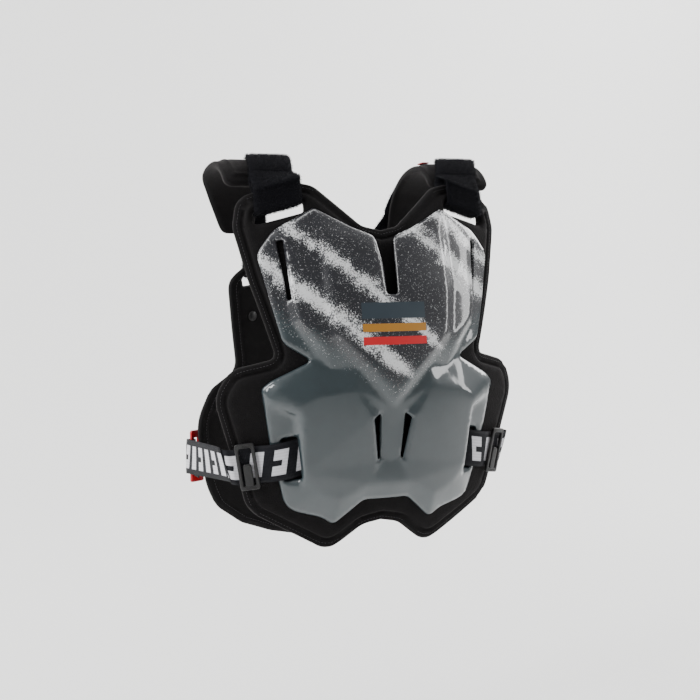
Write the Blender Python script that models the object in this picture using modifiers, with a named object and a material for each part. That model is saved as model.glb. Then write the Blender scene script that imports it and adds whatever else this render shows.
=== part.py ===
"""Chest protector for off-road riding, in its worn shape.

Two fabric-covered foam panels carry a hard plate each.  Two shoulder pads and their
hook-and-loop straps join them over the shoulders, and two side straps join them below the arms.

Frame: metres, +Z up, the front faces -Y, the wearer's right is -X.  The origin lies midway
between the shoulder pads, at the height where their undersides rest on the shoulders.
"""
import math

import bmesh
import bpy
from mathutils import Matrix, Vector
from mathutils.geometry import delaunay_2d_cdt

# Panels as seen from the front: width, height, and the height of the top edge
FRONT_WIDTH = 0.340
FRONT_HEIGHT = 0.372
FRONT_TOP = -0.007
BACK_WIDTH = 0.302
BACK_HEIGHT = 0.322
BACK_TOP = -0.086

# Torso: how far each foam face lies from the origin's plane, and its bend seen from above
FRONT_REACH = 0.100
BACK_REACH = 0.106
FRONT_RADIUS_TOP = 0.380
FRONT_RADIUS_LOW = 0.310
BACK_RADIUS = 0.300

# Foam panels
PAD_THICKNESS = 0.011
PAD_RIM_THICKNESS = 0.0075
PAD_RIM_WIDTH = 0.010

# Hard plates: wall, and how far the plate stays inside its panel
SHELL_WALL = 0.0025
SHELL_SIDE_MARGIN = 0.042
SHELL_TOP_MARGIN = 0.028
SHELL_LOW_MARGIN = 0.027
SHELL_RISE = 0.014
BACK_SHELL_SIDE_MARGIN = 0.007
BACK_SHELL_END_MARGIN = 0.014
BACK_SHELL_RISE = 0.012

# Shoulder pads: from the neck side to the arm side, and their foam
SHOULDER_INNER = 0.080
SHOULDER_WIDTH = 0.071
SHOULDER_DEPTH = 0.126
SHOULDER_ARCH = 0.087
SHOULDER_THICKNESS = 0.011
SHOULDER_RIM_THICKNESS = 0.008

# Straps
SHOULDER_STRAP_WIDTH = 0.046
SHOULDER_STRAP_THICKNESS = 0.0022
SHOULDER_STRAP_CENTRE = 0.105
SHOULDER_STRAP_SHIFT = 0.0045
SHOULDER_STRAP_SKEW = 0.0145
SHOULDER_STRAP_TOP = 0.25
REAR_STRAP_WIDTH = 0.032
REAR_STRAP_CENTRE = 0.070
REAR_STRAP_TOP_CENTRE = 0.100
REAR_STRAP_LOW_CENTRE = 0.087
REAR_STRAP_SKEW = 0.006
SIDE_STRAP_WIDTH = 0.038
SIDE_STRAP_THICKNESS = 0.0016
SIDE_STRAP_HEIGHT = -0.286
SIDE_STRAP_SLOPE = 0.18
SIDE_STRAP_REAR_RISE = -0.008
SIDE_STRAP_LAP = 0.030

# Window in the front plate for the side strap
WINDOW_PLACE = 0.104
WINDOW_ROOM = 0.0025

# Slots for the shoulder straps
SLOT_HEIGHT = 0.014
SLOT_END_ROOM = 0.0025
SLOT_BAR = 0.019
BACK_SLOT_END_ROOM = 0.0075
BACK_SLOT_BAR = 0.0115

# Slides, hooks, rivets and the small tab
SLIDE_WIDTH = 0.020
SLIDE_THICKNESS = 0.0036
SLIDE_OVERHANG = 0.005
SLIDE_BAR = 0.0036
SLIDE_INSET = 0.013
HOOK_OVERHANG = 0.0095
HOOK_WIDTH = 0.019
HOOK_THICKNESS = 0.0032
HOOK_BAR = 0.0044
HOOK_WINDOW = 0.006
HOOK_ROOM = 0.0015
HOOK_INSET = 0.004
RIVET_DIAMETER = 0.011
RIVET_RISE = 0.0022
TAB_LENGTH = 0.014
TAB_WIDTH = 0.009
TAB_THICKNESS = 0.0012
TAB_ACROSS = 0.014
TAB_ALONG = 0.34

# Clearances between pieces: face to face, and where a flat or bent piece lies on a bent one
SEAT_GAP = 0.0003
SHELL_GAP = 0.0005
STRAP_GAP = 0.0006
BENT_SEAT_GAP = 0.0008

# Mesh fineness
OUTLINE_STEP = 0.024
GRID_STEP = 0.030
ARC_STEP = math.radians(32)
STRAP_STEPS = 12

# How the front panel leans, centre line: share of its height below the top, share of the reach
FRONT_LEAN = [
    (-0.10, 0.62),
    (0.00, 0.69),
    (0.21, 0.86),
    (0.48, 1.00),
    (0.75, 0.93),
    (1.00, 0.79),
]
BACK_LEAN = [
    (-0.10, 0.90),
    (0.00, 0.93),
    (0.35, 1.00),
    (0.70, 1.00),
    (1.00, 0.90),
]

# Half outlines, neck to hem: across as a share of the half width, down as a share of the
# height, corner radius in metres
FRONT_PAD_OUTLINE = [
    (0.000, 0.132, 0.000),
    (0.120, 0.120, 0.020),
    (0.400, 0.012, 0.022),
    (0.510, 0.002, 0.020),
    (0.850, 0.044, 0.024),
    (0.885, 0.125, 0.030),
    (0.815, 0.270, 0.200),
    (0.680, 0.478, 0.009),
    (0.930, 0.508, 0.026),
    (1.020, 0.585, 0.040),
    (0.812, 0.900, 0.034),
    (0.330, 1.018, 0.028),
    (0.120, 0.948, 0.030),
    (0.000, 0.938, 0.000),
]
FRONT_SHELL_OUTLINE = [
    (0.000, 0.278, 0.000),
    (0.044, 0.278, 0.0055),
    (0.055, 0.160, 0.080),
    (0.080, 0.090, 0.010),
    (0.250, 0.064, 0.060),
    (0.556, 0.000, 0.005),
    (0.880, 0.072, 0.040),
    (1.012, 0.145, 0.018),
    (0.925, 0.305, 0.120),
    (0.850, 0.425, 0.016),
    (0.640, 0.478, 0.004),
    (0.940, 0.540, 0.030),
    (1.012, 0.565, 0.007),
    (0.935, 0.745, 0.200),
    (0.800, 0.955, 0.026),
    (0.520, 0.985, 0.030),
    (0.425, 1.012, 0.014),
    (0.190, 0.930, 0.014),
    (0.000, 0.930, 0.000),
]
BACK_PAD_OUTLINE = [
    (0.000, 0.115, 0.000),
    (0.130, 0.110, 0.030),
    (0.270, 0.000, 0.018),
    (0.560, 0.020, 0.020),
    (0.735, 0.076, 0.022),
    (0.690, 0.240, 0.200),
    (0.645, 0.385, 0.018),
    (0.880, 0.446, 0.030),
    (1.010, 0.556, 0.050),
    (0.930, 0.775, 0.080),
    (0.850, 0.850, 0.030),
    (0.630, 0.920, 0.040),
    (0.380, 0.962, 0.060),
    (0.000, 1.000, 0.000),
]
BACK_SHELL_OUTLINE = [
    (0.000, 0.160, 0.000),
    (0.250, 0.160, 0.020),
    (0.480, 0.112, 0.014),
    (0.640, 0.160, 0.014),
    (0.600, 0.395, 0.016),
    (0.880, 0.470, 0.024),
    (1.005, 0.570, 0.040),
    (0.915, 0.785, 0.080),
    (0.835, 0.860, 0.024),
    (0.620, 0.930, 0.030),
    (0.380, 0.970, 0.060),
    (0.000, 1.000, 0.000),
]

# The front plate's relief.  Name: across and down as shares of the plate, rise as a share of
# SHELL_RISE.  Rise 0 lies at the plate's low edge.
FRONT_RELIEF = {
    "slot_foot": (0.000, 0.278, 0.82),
    "slot_side": (0.055, 0.180, 0.62),
    "slot_mouth": (0.080, 0.085, 0.10),
    "neck_mid": (0.300, 0.052, 0.05),
    "peak": (0.556, 0.000, 0.00),
    "shoulder": (0.880, 0.072, 0.00),
    "arm_top": (1.012, 0.145, 0.00),
    "arm_mid": (0.925, 0.305, 0.00),
    "arm_low": (0.850, 0.425, 0.00),
    "waist": (0.640, 0.478, 0.00),
    "hip_in": (0.940, 0.540, 0.00),
    "hip": (1.012, 0.565, 0.00),
    "flank": (0.935, 0.745, 0.00),
    "corner": (0.800, 0.955, 0.00),
    "lobe_out": (0.520, 0.985, 0.00),
    "lobe": (0.425, 1.012, 0.00),
    "hem": (0.190, 0.930, 0.15),
    "hem_mid": (0.000, 0.930, 0.20),
    "field_neck": (0.160, 0.120, 0.45),
    "field_top": (0.500, 0.075, 0.35),
    "field_side": (0.480, 0.260, 1.00),
    "field_low": (0.450, 0.395, 1.00),
    "field_cut": (0.240, 0.485, 1.00),
    "field_tip": (0.000, 0.595, 0.96),
    "field_mid": (0.000, 0.430, 1.06),
    "bevel_top": (0.555, 0.085, 0.22),
    "bevel_side": (0.545, 0.262, 0.66),
    "bevel_low": (0.510, 0.408, 0.66),
    "bevel_cut": (0.295, 0.505, 0.62),
    "bevel_tip": (0.000, 0.632, 0.56),
    "vent_top": (0.800, 0.100, 0.30),
    "vent_low": (0.755, 0.292, 0.60),
    "wing_low": (0.725, 0.355, 0.60),
    "wing_waist": (0.600, 0.420, 0.52),
    "vent_foot_top": (0.872, 0.100, 0.08),
    "vent_foot_low": (0.810, 0.296, 0.10),
    "wing_foot": (0.775, 0.365, 0.10),
    "waist_top": (0.655, 0.432, 0.08),
    "waist_in": (0.490, 0.508, 0.26),
    "bulge_in": (0.330, 0.560, 0.78),
    "bulge_top": (0.600, 0.578, 0.80),
    "bulge_side": (0.725, 0.606, 0.80),
    "bulge_hip": (0.900, 0.562, 0.40),
    "lip": (0.945, 0.606, 0.32),
    "lip_foot": (0.950, 0.632, 0.10),
    "step_top": (0.722, 0.640, 0.80),
    "step_foot": (0.775, 0.650, 0.10),
    "step_low": (0.675, 0.826, 0.80),
    "step_low_foot": (0.725, 0.828, 0.10),
    "flank_low": (0.810, 0.872, 0.10),
    "bulge_low": (0.690, 0.876, 0.45),
    "hem_out": (0.575, 0.890, 0.62),
    "hem_lobe": (0.405, 0.918, 0.62),
    "hem_in": (0.190, 0.872, 0.66),
    "hem_mid_top": (0.000, 0.872, 0.62),
    "cut_top": (0.165, 0.652, 0.76),
    "cut_low": (0.112, 0.800, 0.56),
    "spine_top": (0.098, 0.650, 0.50),
    "spine_low": (0.080, 0.800, 0.46),
    "spine_mid": (0.000, 0.700, 0.46),
    "spine_foot": (0.000, 0.800, 0.44),
}
FRONT_CREASES = [
    ("field_neck", "field_top", "field_side", "field_low", "field_cut", "field_tip"),
    ("field_top", "bevel_top", "bevel_side", "bevel_low", "bevel_cut", "bevel_tip"),
    ("field_side", "bevel_side"),
    ("field_low", "bevel_low"),
    ("field_cut", "bevel_cut"),
    ("bevel_top", "vent_top", "vent_low", "wing_low", "wing_waist", "waist_in"),
    ("vent_top", "vent_foot_top", "vent_foot_low", "wing_foot", "waist_top", "waist_in"),
    ("bevel_low", "wing_waist"),
    ("waist", "waist_in", "bevel_cut"),
    ("bevel_cut", "bulge_in", "bulge_top", "bulge_side", "bulge_hip", "hip"),
    ("bulge_side", "step_top", "step_low", "bulge_low", "hem_out"),
    ("bulge_hip", "lip", "lip_foot", "step_foot", "step_low_foot", "flank_low"),
    ("step_top", "step_foot"),
    ("lip", "step_top"),
    ("hem_out", "hem_lobe", "hem_in", "hem_mid_top"),
    ("bulge_in", "cut_top", "cut_low", "hem_in"),
    ("bevel_tip", "spine_top", "spine_low", "spine_foot"),
]

# Openings in the front plate, as shares of the plate, with the corner radius in metres
UPPER_VENT = [
    (0.812, 0.104, 0.0015),
    (0.860, 0.106, 0.0020),
    (0.800, 0.292, 0.0010),
    (0.776, 0.288, 0.0010),
]
LOWER_VENT = [
    (0.108, 0.648, 0.0010),
    (0.158, 0.662, 0.0020),
    (0.140, 0.705, 0.0030),
    (0.106, 0.796, 0.0006),
    (0.090, 0.790, 0.0006),
    (0.104, 0.690, 0.0020),
]

# The back plate's relief in the same form
BACK_RELIEF = {
    "neck": (0.000, 0.160, 0.00),
    "tab_in": (0.250, 0.160, 0.00),
    "tab_top": (0.480, 0.112, 0.00),
    "tab_out": (0.640, 0.160, 0.00),
    "arm": (0.600, 0.395, 0.00),
    "hip_in": (0.880, 0.470, 0.00),
    "hip": (1.005, 0.570, 0.00),
    "flank": (0.915, 0.785, 0.00),
    "corner": (0.835, 0.860, 0.00),
    "hem_side": (0.620, 0.930, 0.00),
    "hem_out": (0.380, 0.970, 0.00),
    "hem": (0.000, 1.000, 0.00),
    "blade_top": (0.200, 0.220, 0.80),
    "blade_out": (0.500, 0.235, 0.75),
    "blade_low": (0.450, 0.440, 0.85),
    "rib_in": (0.700, 0.545, 0.70),
    "rib_out": (0.810, 0.605, 0.62),
    "rib_low": (0.740, 0.790, 0.62),
    "hem_rib": (0.380, 0.890, 0.80),
    "spine_top": (0.000, 0.240, 0.85),
    "spine_mid": (0.000, 0.570, 1.00),
    "spine_low": (0.000, 0.900, 0.80),
    "groove_top": (0.130, 0.310, 0.60),
    "groove_low": (0.130, 0.840, 0.60),
}
BACK_CREASES = [
    ("blade_top", "blade_out", "blade_low", "rib_in", "rib_out", "rib_low", "hem_rib"),
    ("hem_rib", "spine_low"),
    ("blade_top", "spine_top", "spine_mid", "spine_low"),
    ("groove_top", "groove_low"),
]

# Side slot of the back panel and plate, as shares of the back panel
BACK_SIDE_SLOT = [
    (0.735, 0.500, 0.0015),
    (0.835, 0.508, 0.0015),
    (0.855, 0.526, 0.0015),
    (0.760, 0.522, 0.0015),
]
RIVET_PLACES = [(0.535, 0.200), (0.450, 0.750)]

# The shoulder pad's run over the shoulder: forward and up as shares of SHOULDER_DEPTH and
# SHOULDER_ARCH, from its front end to its rear end
SHOULDER_RUN = [
    (-0.285, -0.100),
    (-0.235, -0.005),
    (-0.160, 0.090),
    (-0.035, 0.172),
    (0.140, 0.172),
    (0.330, 0.092),
    (0.490, -0.070),
    (0.600, -0.300),
    (0.655, -0.570),
    (0.662, -0.690),
]
# Its flat outline: across as a share of its width, along as a share of the run, corner radius
SHOULDER_OUTLINE = [
    (0.00, 0.00, 0.012),
    (1.00, 0.00, 0.010),
    (1.00, 0.56, 0.060),
    (0.52, 1.00, 0.010),
    (0.02, 1.00, 0.010),
]


def material(name, colour, roughness, metallic=0.0):
    """A plain finish for one kind of piece."""
    made = bpy.data.materials.new(name)
    made.use_nodes = True
    shader = made.node_tree.nodes["Principled BSDF"]
    shader.inputs["Base Color"].default_value = (*colour, 1.0)
    shader.inputs["Roughness"].default_value = roughness
    shader.inputs["Metallic"].default_value = metallic
    return made


def along(table, share):
    """A value read from a table of pairs by straight interpolation."""
    if share <= table[0][0]:
        return table[0][1]
    for (low, first), (high, last) in zip(table, table[1:]):
        if share <= high:
            return first + (last - first) * (share - low) / (high - low)
    return table[-1][1]


def smooth_run(points, pieces):
    """A Catmull-Rom curve through points, as many short runs between each two."""
    padded = [points[0] * 2 - points[1], *points, points[-1] * 2 - points[-2]]
    out = []
    for a, b, c, d in zip(padded, padded[1:], padded[2:], padded[3:]):
        for step in range(pieces):
            t = step / pieces
            out.append(0.5 * (2 * b + (c - a) * t + (2 * a - 5 * b + 4 * c - d) * t * t
                              + (3 * b - a - 3 * c + d) * t ** 3))
    out.append(points[-1])
    return out


FRONT_LINE = [tuple(p) for p in smooth_run([Vector(row) for row in FRONT_LEAN], 5)]
BACK_LINE = [tuple(p) for p in smooth_run([Vector(row) for row in BACK_LEAN], 5)]


def front_face(x, z):
    """A point of the front panel's outer face."""
    down = (FRONT_TOP - z) / FRONT_HEIGHT
    radius = FRONT_RADIUS_TOP + (FRONT_RADIUS_LOW - FRONT_RADIUS_TOP) * min(max(down, 0.0), 1.0)
    rise = math.sqrt(max(1.0 - (x / radius) ** 2, 0.05))
    return Vector((x, radius * (1.0 - rise) - FRONT_REACH * along(FRONT_LINE, down), z))


def back_face(x, z):
    """A point of the back panel's outer face."""
    down = (BACK_TOP - z) / BACK_HEIGHT
    rise = math.sqrt(max(1.0 - (x / BACK_RADIUS) ** 2, 0.05))
    reach = (BACK_REACH + PAD_THICKNESS) * along(BACK_LINE, down)
    return Vector((x, reach - BACK_RADIUS * (1.0 - rise), z))


def with_outward(face, x, z):
    """A point of a panel's face and its outward direction there."""
    span = GRID_STEP / 4
    across = face(x + span, z) - face(x - span, z)
    up = face(x, z + span) - face(x, z - span)
    outward = across.cross(up).normalized()
    point = face(x, z)
    return point, outward if outward.y * point.y > 0 else -outward


def front_bend(x, z):
    """The front panel's outer face and its outward direction."""
    return with_outward(front_face, x, z)


def back_bend(x, z):
    """The back panel's outer face and its outward direction."""
    return with_outward(back_face, x, z)


SHOULDER_LINE = smooth_run(
    [Vector((0.0, y * SHOULDER_DEPTH, z * SHOULDER_ARCH)) for y, z in SHOULDER_RUN], 3)
SHOULDER_LENGTH = sum((b - a).length for a, b in zip(SHOULDER_LINE, SHOULDER_LINE[1:]))


def shoulder_bend(x, run):
    """The shoulder pad's outer face, run metres from its front end."""
    left = run
    for a, b in zip(SHOULDER_LINE, SHOULDER_LINE[1:]):
        length = (b - a).length
        if left <= length or b is SHOULDER_LINE[-1]:
            break
        left -= length
    heading = (b - a).normalized()
    point = a + heading * left
    return Vector((x, point.y, point.z)), Vector((0.0, -heading.z, heading.y))


def rounded(rows, closed):
    """Corners turned into arcs, and long edges cut into steps."""
    count = len(rows)
    path = []
    for i, (x, z, radius) in enumerate(rows):
        corner = Vector((x, z))
        if not closed and i in (0, count - 1):
            path.append(corner)
            continue
        before = Vector(rows[i - 1][:2]) - corner
        after = Vector(rows[(i + 1) % count][:2]) - corner
        turn = math.pi - before.angle(after)
        reach = min(radius * math.tan(turn / 2), 0.48 * before.length, 0.48 * after.length)
        first = corner + before.normalized() * reach
        last = corner + after.normalized() * reach
        pieces = max(1, math.ceil(turn / ARC_STEP))
        for k in range(pieces + 1):
            t = k / pieces
            path.append(first * (1 - t) ** 2 + corner * 2 * t * (1 - t) + last * t ** 2)
    ends = path[1:] + path[:1] if closed else path[1:]
    out = []
    for a, b in zip(path, ends):
        pieces = max(1, math.ceil((b - a).length / OUTLINE_STEP))
        out.extend(a.lerp(b, k / pieces) for k in range(pieces))
    if not closed:
        out.append(path[-1])
    return [p for p, q in zip(out, out[1:] + out[:1]) if (p - q).length > 1e-6 or not closed]


def on_panel(rows, half_width, top, height):
    """Outline rows given as shares, turned into metres on a panel."""
    return [(across * half_width, top - down * height, radius) for across, down, radius in rows]


def inside(point, loop):
    """Whether a flat point lies inside a closed loop."""
    result = False
    for a, b in zip(loop, loop[1:] + loop[:1]):
        if (a.y > point.y) != (b.y > point.y):
            if point.x < a.x + (b.x - a.x) * (point.y - a.y) / (b.y - a.y):
                result = not result
    return result


def edge_distance(point, loop):
    """How far a flat point lies from a closed loop."""
    best = 1.0
    for a, b in zip(loop, loop[1:] + loop[:1]):
        run = b - a
        t = min(max((point - a).dot(run) / max(run.length_squared, 1e-12), 0.0), 1.0)
        best = min(best, (point - a - run * t).length)
    return best


def inset(loop, distance):
    """Points at one distance inside a loop, without the ones that crowd together."""
    area = sum(a.x * b.y - b.x * a.y for a, b in zip(loop, loop[1:] + loop[:1]))
    side = 1.0 if area > 0 else -1.0
    out = []
    for a, b, c in zip(loop[-1:] + loop[:-1], loop, loop[1:] + loop[:1]):
        heading = ((b - a).normalized() + (c - b).normalized()).normalized()
        moved = b + Vector((-heading.y, heading.x)) * side * distance
        if inside(moved, loop) and edge_distance(moved, loop) > 0.93 * distance:
            if all((moved - p).length > 0.3 * distance for p in out):
                out.append(moved)
    return out


def relief(points, creases, half_width, top, height, rise):
    """A function that gives the plate's height over its panel, from a table of points."""
    names = list(points)
    flat = [Vector((points[n][0] * half_width, top - points[n][1] * height)) for n in names]
    lift = [points[n][2] * rise for n in names]
    edges = [(names.index(a), names.index(b)) for run in creases for a, b in zip(run, run[1:])]
    corners, _, faces, sources, _, _ = delaunay_2d_cdt(flat, edges, [], 0, 1e-6)
    lifts = [lift[source[0]] if source else 0.0 for source in sources]

    def height_at(x, z):
        spot = Vector((x, z))
        best = None
        for face in faces:
            a, b, c = (corners[i] for i in face)
            area = (b - a).cross(c - a)
            u = (b - spot).cross(c - spot) / area
            v = (c - spot).cross(a - spot) / area
            inner = min(u, v, 1 - u - v)
            if best is None or inner > best[0]:
                la, lb, lc = (lifts[i] for i in face)
                best = (inner, u * la + v * lb + (1 - u - v) * lc)
            if inner >= 0:
                break
        return max(best[1], 0.0)

    return height_at, flat, edges


def flat_sheet(loop, holes, extra, creases):
    """A flat mesh of triangles inside a loop and outside its holes, x and z in the plane."""
    points = []
    edges = []
    for ring in [loop, *holes]:
        start = len(points)
        points.extend(ring)
        edges.extend((start + i, start + (i + 1) % len(ring)) for i in range(len(ring)))
    start = len(points)
    points.extend(extra)
    edges.extend((start + a, start + b) for a, b in creases)
    low = Vector((min(p.x for p in loop), min(p.y for p in loop)))
    high = Vector((max(p.x for p in loop), max(p.y for p in loop)))
    row = 0
    z = low.y
    while z < high.y:
        x = low.x + (GRID_STEP / 2 if row % 2 else GRID_STEP)
        while x < high.x:
            spot = Vector((x, z))
            if inside(spot, loop) and not any(inside(spot, hole) for hole in holes):
                if min((spot - p).length for p in points) > 0.6 * GRID_STEP:
                    if edge_distance(spot, loop) > 0.3 * GRID_STEP:
                        points.append(spot)
            x += GRID_STEP
        z += GRID_STEP * 0.87
        row += 1
    corners, _, faces, _, _, _ = delaunay_2d_cdt(points, edges, [], 0, 1e-6)
    mesh = bmesh.new()
    verts = [mesh.verts.new((p.x, 0.0, p.y)) for p in corners]
    for face in faces:
        middle = sum((corners[i] for i in face), Vector((0.0, 0.0))) / len(face)
        a, b, c = (corners[i] for i in face)
        if abs((b - a).cross(c - a)) < 1e-8:
            continue
        if inside(middle, loop) and not any(inside(middle, hole) for hole in holes):
            mesh.faces.new([verts[i] for i in face])
    loose = [v for v in mesh.verts if not v.link_faces]
    bmesh.ops.delete(mesh, geom=loose, context="VERTS")
    return mesh


def slab(name, mesh, place, colour):
    """A flat sheet given two faces and bent: place(x, z, side) with side 1 outside, 0 inside."""
    flat = mesh.verts.layers.float.new("side")
    made = bmesh.ops.extrude_face_region(mesh, geom=mesh.faces[:], use_keep_orig=True)
    for item in made["geom"]:
        if isinstance(item, bmesh.types.BMVert):
            item[flat] = 1.0
    for vert in mesh.verts:
        vert.co = place(vert.co.x, vert.co.z, vert[flat])
    bmesh.ops.triangulate(mesh, faces=mesh.faces[:])
    bmesh.ops.recalc_face_normals(mesh, faces=mesh.faces[:])
    return finish(name, mesh, colour)


def finish(name, mesh, colour):
    """A named object from a bmesh, in the part's collection."""
    data = bpy.data.meshes.new(name)
    mesh.to_mesh(data)
    mesh.free()
    data.materials.append(colour)
    made = bpy.data.objects.new(name, data)
    PARTS.objects.link(made)
    return made


def whole(mesh):
    """The half sheet joined to its mirror image at the centre plane."""
    bmesh.ops.mirror(mesh, geom=mesh.verts[:] + mesh.edges[:] + mesh.faces[:],
                     axis="X", merge_dist=1e-5)
    bmesh.ops.recalc_face_normals(mesh, faces=mesh.faces[:])
    return mesh


def closed_half(path):
    """A half outline closed along the centre plane."""
    first, last = path[0], path[-1]
    pieces = max(1, round((first - last).length / GRID_STEP))
    return path + [last.lerp(first, k / pieces) for k in range(1, pieces)]


def strap_slot(centre, upper_edge, bar, width):
    """The slot that a shoulder strap passes, below the bar at the top of a panel's tab."""
    half = width / 2
    corners = []
    for side, drop in ((-1, 0.0), (1, 0.0), (1, SLOT_HEIGHT), (-1, SLOT_HEIGHT)):
        x = centre + side * half
        corners.append((x, upper_edge(x) - bar - drop, SLOT_HEIGHT * 0.42))
    return rounded(corners, True)


def edge_line(rows, first, last, half_width, top, height):
    """The straight run between two outline rows, as a function from x to z."""
    (x0, z0, _), (x1, z1, _) = on_panel([rows[first], rows[last]], half_width, top, height)

    def z_at(x):
        return z0 + (z1 - z0) * (x - x0) / (x1 - x0)

    return z_at


def ribbon(name, rails, thickness, colour):
    """A woven strap: a strip that follows rails side by side, given its thickness."""
    mesh = bmesh.new()
    rows = [[mesh.verts.new(point) for point in rail] for rail in rails]
    for row, beside in zip(rows, rows[1:]):
        for a, b, c, d in zip(row, beside, beside[1:], row[1:]):
            mesh.faces.new((a, b, c, d))
    made = finish(name, mesh, colour)
    wall = made.modifiers.new("strap thickness", "SOLIDIFY")
    wall.thickness = thickness
    wall.offset = 0.0
    wall.use_even_offset = True
    wall.use_quality_normals = True
    return made


def shaped_ring(name, outline, holes, thickness, colour):
    """A flat plastic part: a filled outline with holes, given its thickness."""
    curve = bpy.data.curves.new(name, "CURVE")
    curve.dimensions = "2D"
    curve.fill_mode = "BOTH"
    curve.extrude = thickness / 2
    for ring in [outline, *holes]:
        spline = curve.splines.new("POLY")
        spline.points.add(len(ring) - 1)
        for point, spot in zip(spline.points, ring):
            point.co = (spot.x, spot.y, 0.0, 1.0)
        spline.use_cyclic_u = True
    curve.materials.append(colour)
    made = bpy.data.objects.new(name, curve)
    PARTS.objects.link(made)
    return made


def rounded_box(width, height, radius, centre=(0.0, 0.0)):
    """A rounded rectangle as outline points."""
    x, y = width / 2, height / 2
    rows = [(centre[0] + a * x, centre[1] + b * y, radius)
            for a, b in ((-1, -1), (1, -1), (1, 1), (-1, 1))]
    return rounded(rows, True)


def seat(made, origin, across, up):
    """An object placed with its local x along across and its local y along up."""
    x_axis = across.normalized()
    z_axis = x_axis.cross(up).normalized()
    y_axis = z_axis.cross(x_axis)
    made.matrix_world = Matrix.LocRotScale(
        origin, Matrix((x_axis, y_axis, z_axis)).transposed().to_quaternion(), None)


def make_pad(name, outline, panel, bend, hole_rows, colour):
    """A foam panel with a thinner pressed rim."""
    loop = closed_half(rounded(on_panel(outline, *panel), False))
    border = [p for p in inset(loop, PAD_RIM_WIDTH) if p.x > PAD_RIM_WIDTH]
    holes = [hole for hole in hole_rows]
    border = [p for p in border if not any(inside(p, hole) for hole in holes)]
    border = [p for p in border if all(edge_distance(p, hole) > 0.003 for hole in holes)]
    open_edge = [p for p in loop if p.x > 1e-6]
    mesh = whole(flat_sheet(loop, holes, border, []))

    def place(x, z, side):
        point, outward = bend(x, z)
        if side < 0.5:
            return point - outward * PAD_THICKNESS
        spot = Vector((abs(x), z))
        near = min((spot - p).length for p in open_edge)
        drop = PAD_THICKNESS - PAD_RIM_THICKNESS if near < 1e-5 else 0.0
        return point - outward * drop

    return slab(name, mesh, place, colour)


def make_shell(name, outline, panel, bend, relief_table, holes, colour):
    """A hard plate of even wall that stands over its foam panel."""
    points, creases, rise = relief_table
    height_at, flat, edges = relief(points, creases, *panel, rise)
    loop = closed_half(rounded(on_panel(outline, *panel), False))
    kept = [i for i, p in enumerate(flat) if inside(p, loop) and edge_distance(p, loop) > 0.003
            and not any(inside(p, hole) or edge_distance(p, hole) < 0.0015 for hole in holes)]
    places = {i: k for k, i in enumerate(kept)}
    extra = [flat[i] for i in kept]
    lines = [(places[a], places[b]) for a, b in edges if a in places and b in places]
    mesh = whole(flat_sheet(loop, holes, extra, lines))

    def place(x, z, side):
        point, outward = bend(x, z)
        lift = SHELL_GAP + height_at(abs(x), z)
        return point + outward * (lift + SHELL_WALL * side)

    return slab(name, mesh, place, colour), height_at


for stale in list(bpy.data.objects):
    bpy.data.objects.remove(stale, do_unlink=True)

PARTS = bpy.data.collections.new("chest_protector")
bpy.context.scene.collection.children.link(PARTS)

PAD_FABRIC = material("pad_fabric", (0.012, 0.010, 0.011), 0.75)
SHELL_PLASTIC = material("shell_plastic", (0.085, 0.110, 0.122), 0.22)
BACK_PLASTIC = material("back_shell_plastic", (0.30, 0.32, 0.34), 0.30)
HOOK_LOOP = material("hook_and_loop", (0.006, 0.007, 0.012), 0.95)
WEBBING = material("printed_webbing", (0.008, 0.009, 0.016), 0.80)
SLIDE_PLASTIC = material("slide_plastic", (0.010, 0.010, 0.012), 0.40)
HOOK_PLASTIC = material("red_plastic", (0.45, 0.010, 0.012), 0.35)

FRONT_PANEL = (FRONT_WIDTH / 2, FRONT_TOP, FRONT_HEIGHT)
BACK_PANEL = (BACK_WIDTH / 2, BACK_TOP, BACK_HEIGHT)
FRONT_PLATE = (
    FRONT_WIDTH / 2 - SHELL_SIDE_MARGIN,
    FRONT_TOP - SHELL_TOP_MARGIN,
    FRONT_HEIGHT - SHELL_TOP_MARGIN - SHELL_LOW_MARGIN,
)
BACK_PLATE = (
    BACK_WIDTH / 2 - BACK_SHELL_SIDE_MARGIN,
    BACK_TOP,
    BACK_HEIGHT - BACK_SHELL_END_MARGIN,
)

front_edge = edge_line(FRONT_PAD_OUTLINE, 3, 4, *FRONT_PANEL)
front_slot = strap_slot(SHOULDER_STRAP_CENTRE, front_edge, SLOT_BAR,
                        SHOULDER_STRAP_WIDTH + 2 * SLOT_END_ROOM)
make_pad("front_pad", FRONT_PAD_OUTLINE, FRONT_PANEL, front_bend, [front_slot], PAD_FABRIC)

back_edge = edge_line(BACK_PAD_OUTLINE, 2, 3, *BACK_PANEL)
back_slot = strap_slot(REAR_STRAP_CENTRE, back_edge, BACK_SLOT_BAR,
                       REAR_STRAP_WIDTH + 2 * BACK_SLOT_END_ROOM)
back_side_slot = rounded(on_panel(BACK_SIDE_SLOT, *BACK_PANEL), True)
make_pad("back_pad", BACK_PAD_OUTLINE, BACK_PANEL, back_bend, [back_slot, back_side_slot],
         PAD_FABRIC)

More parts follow.
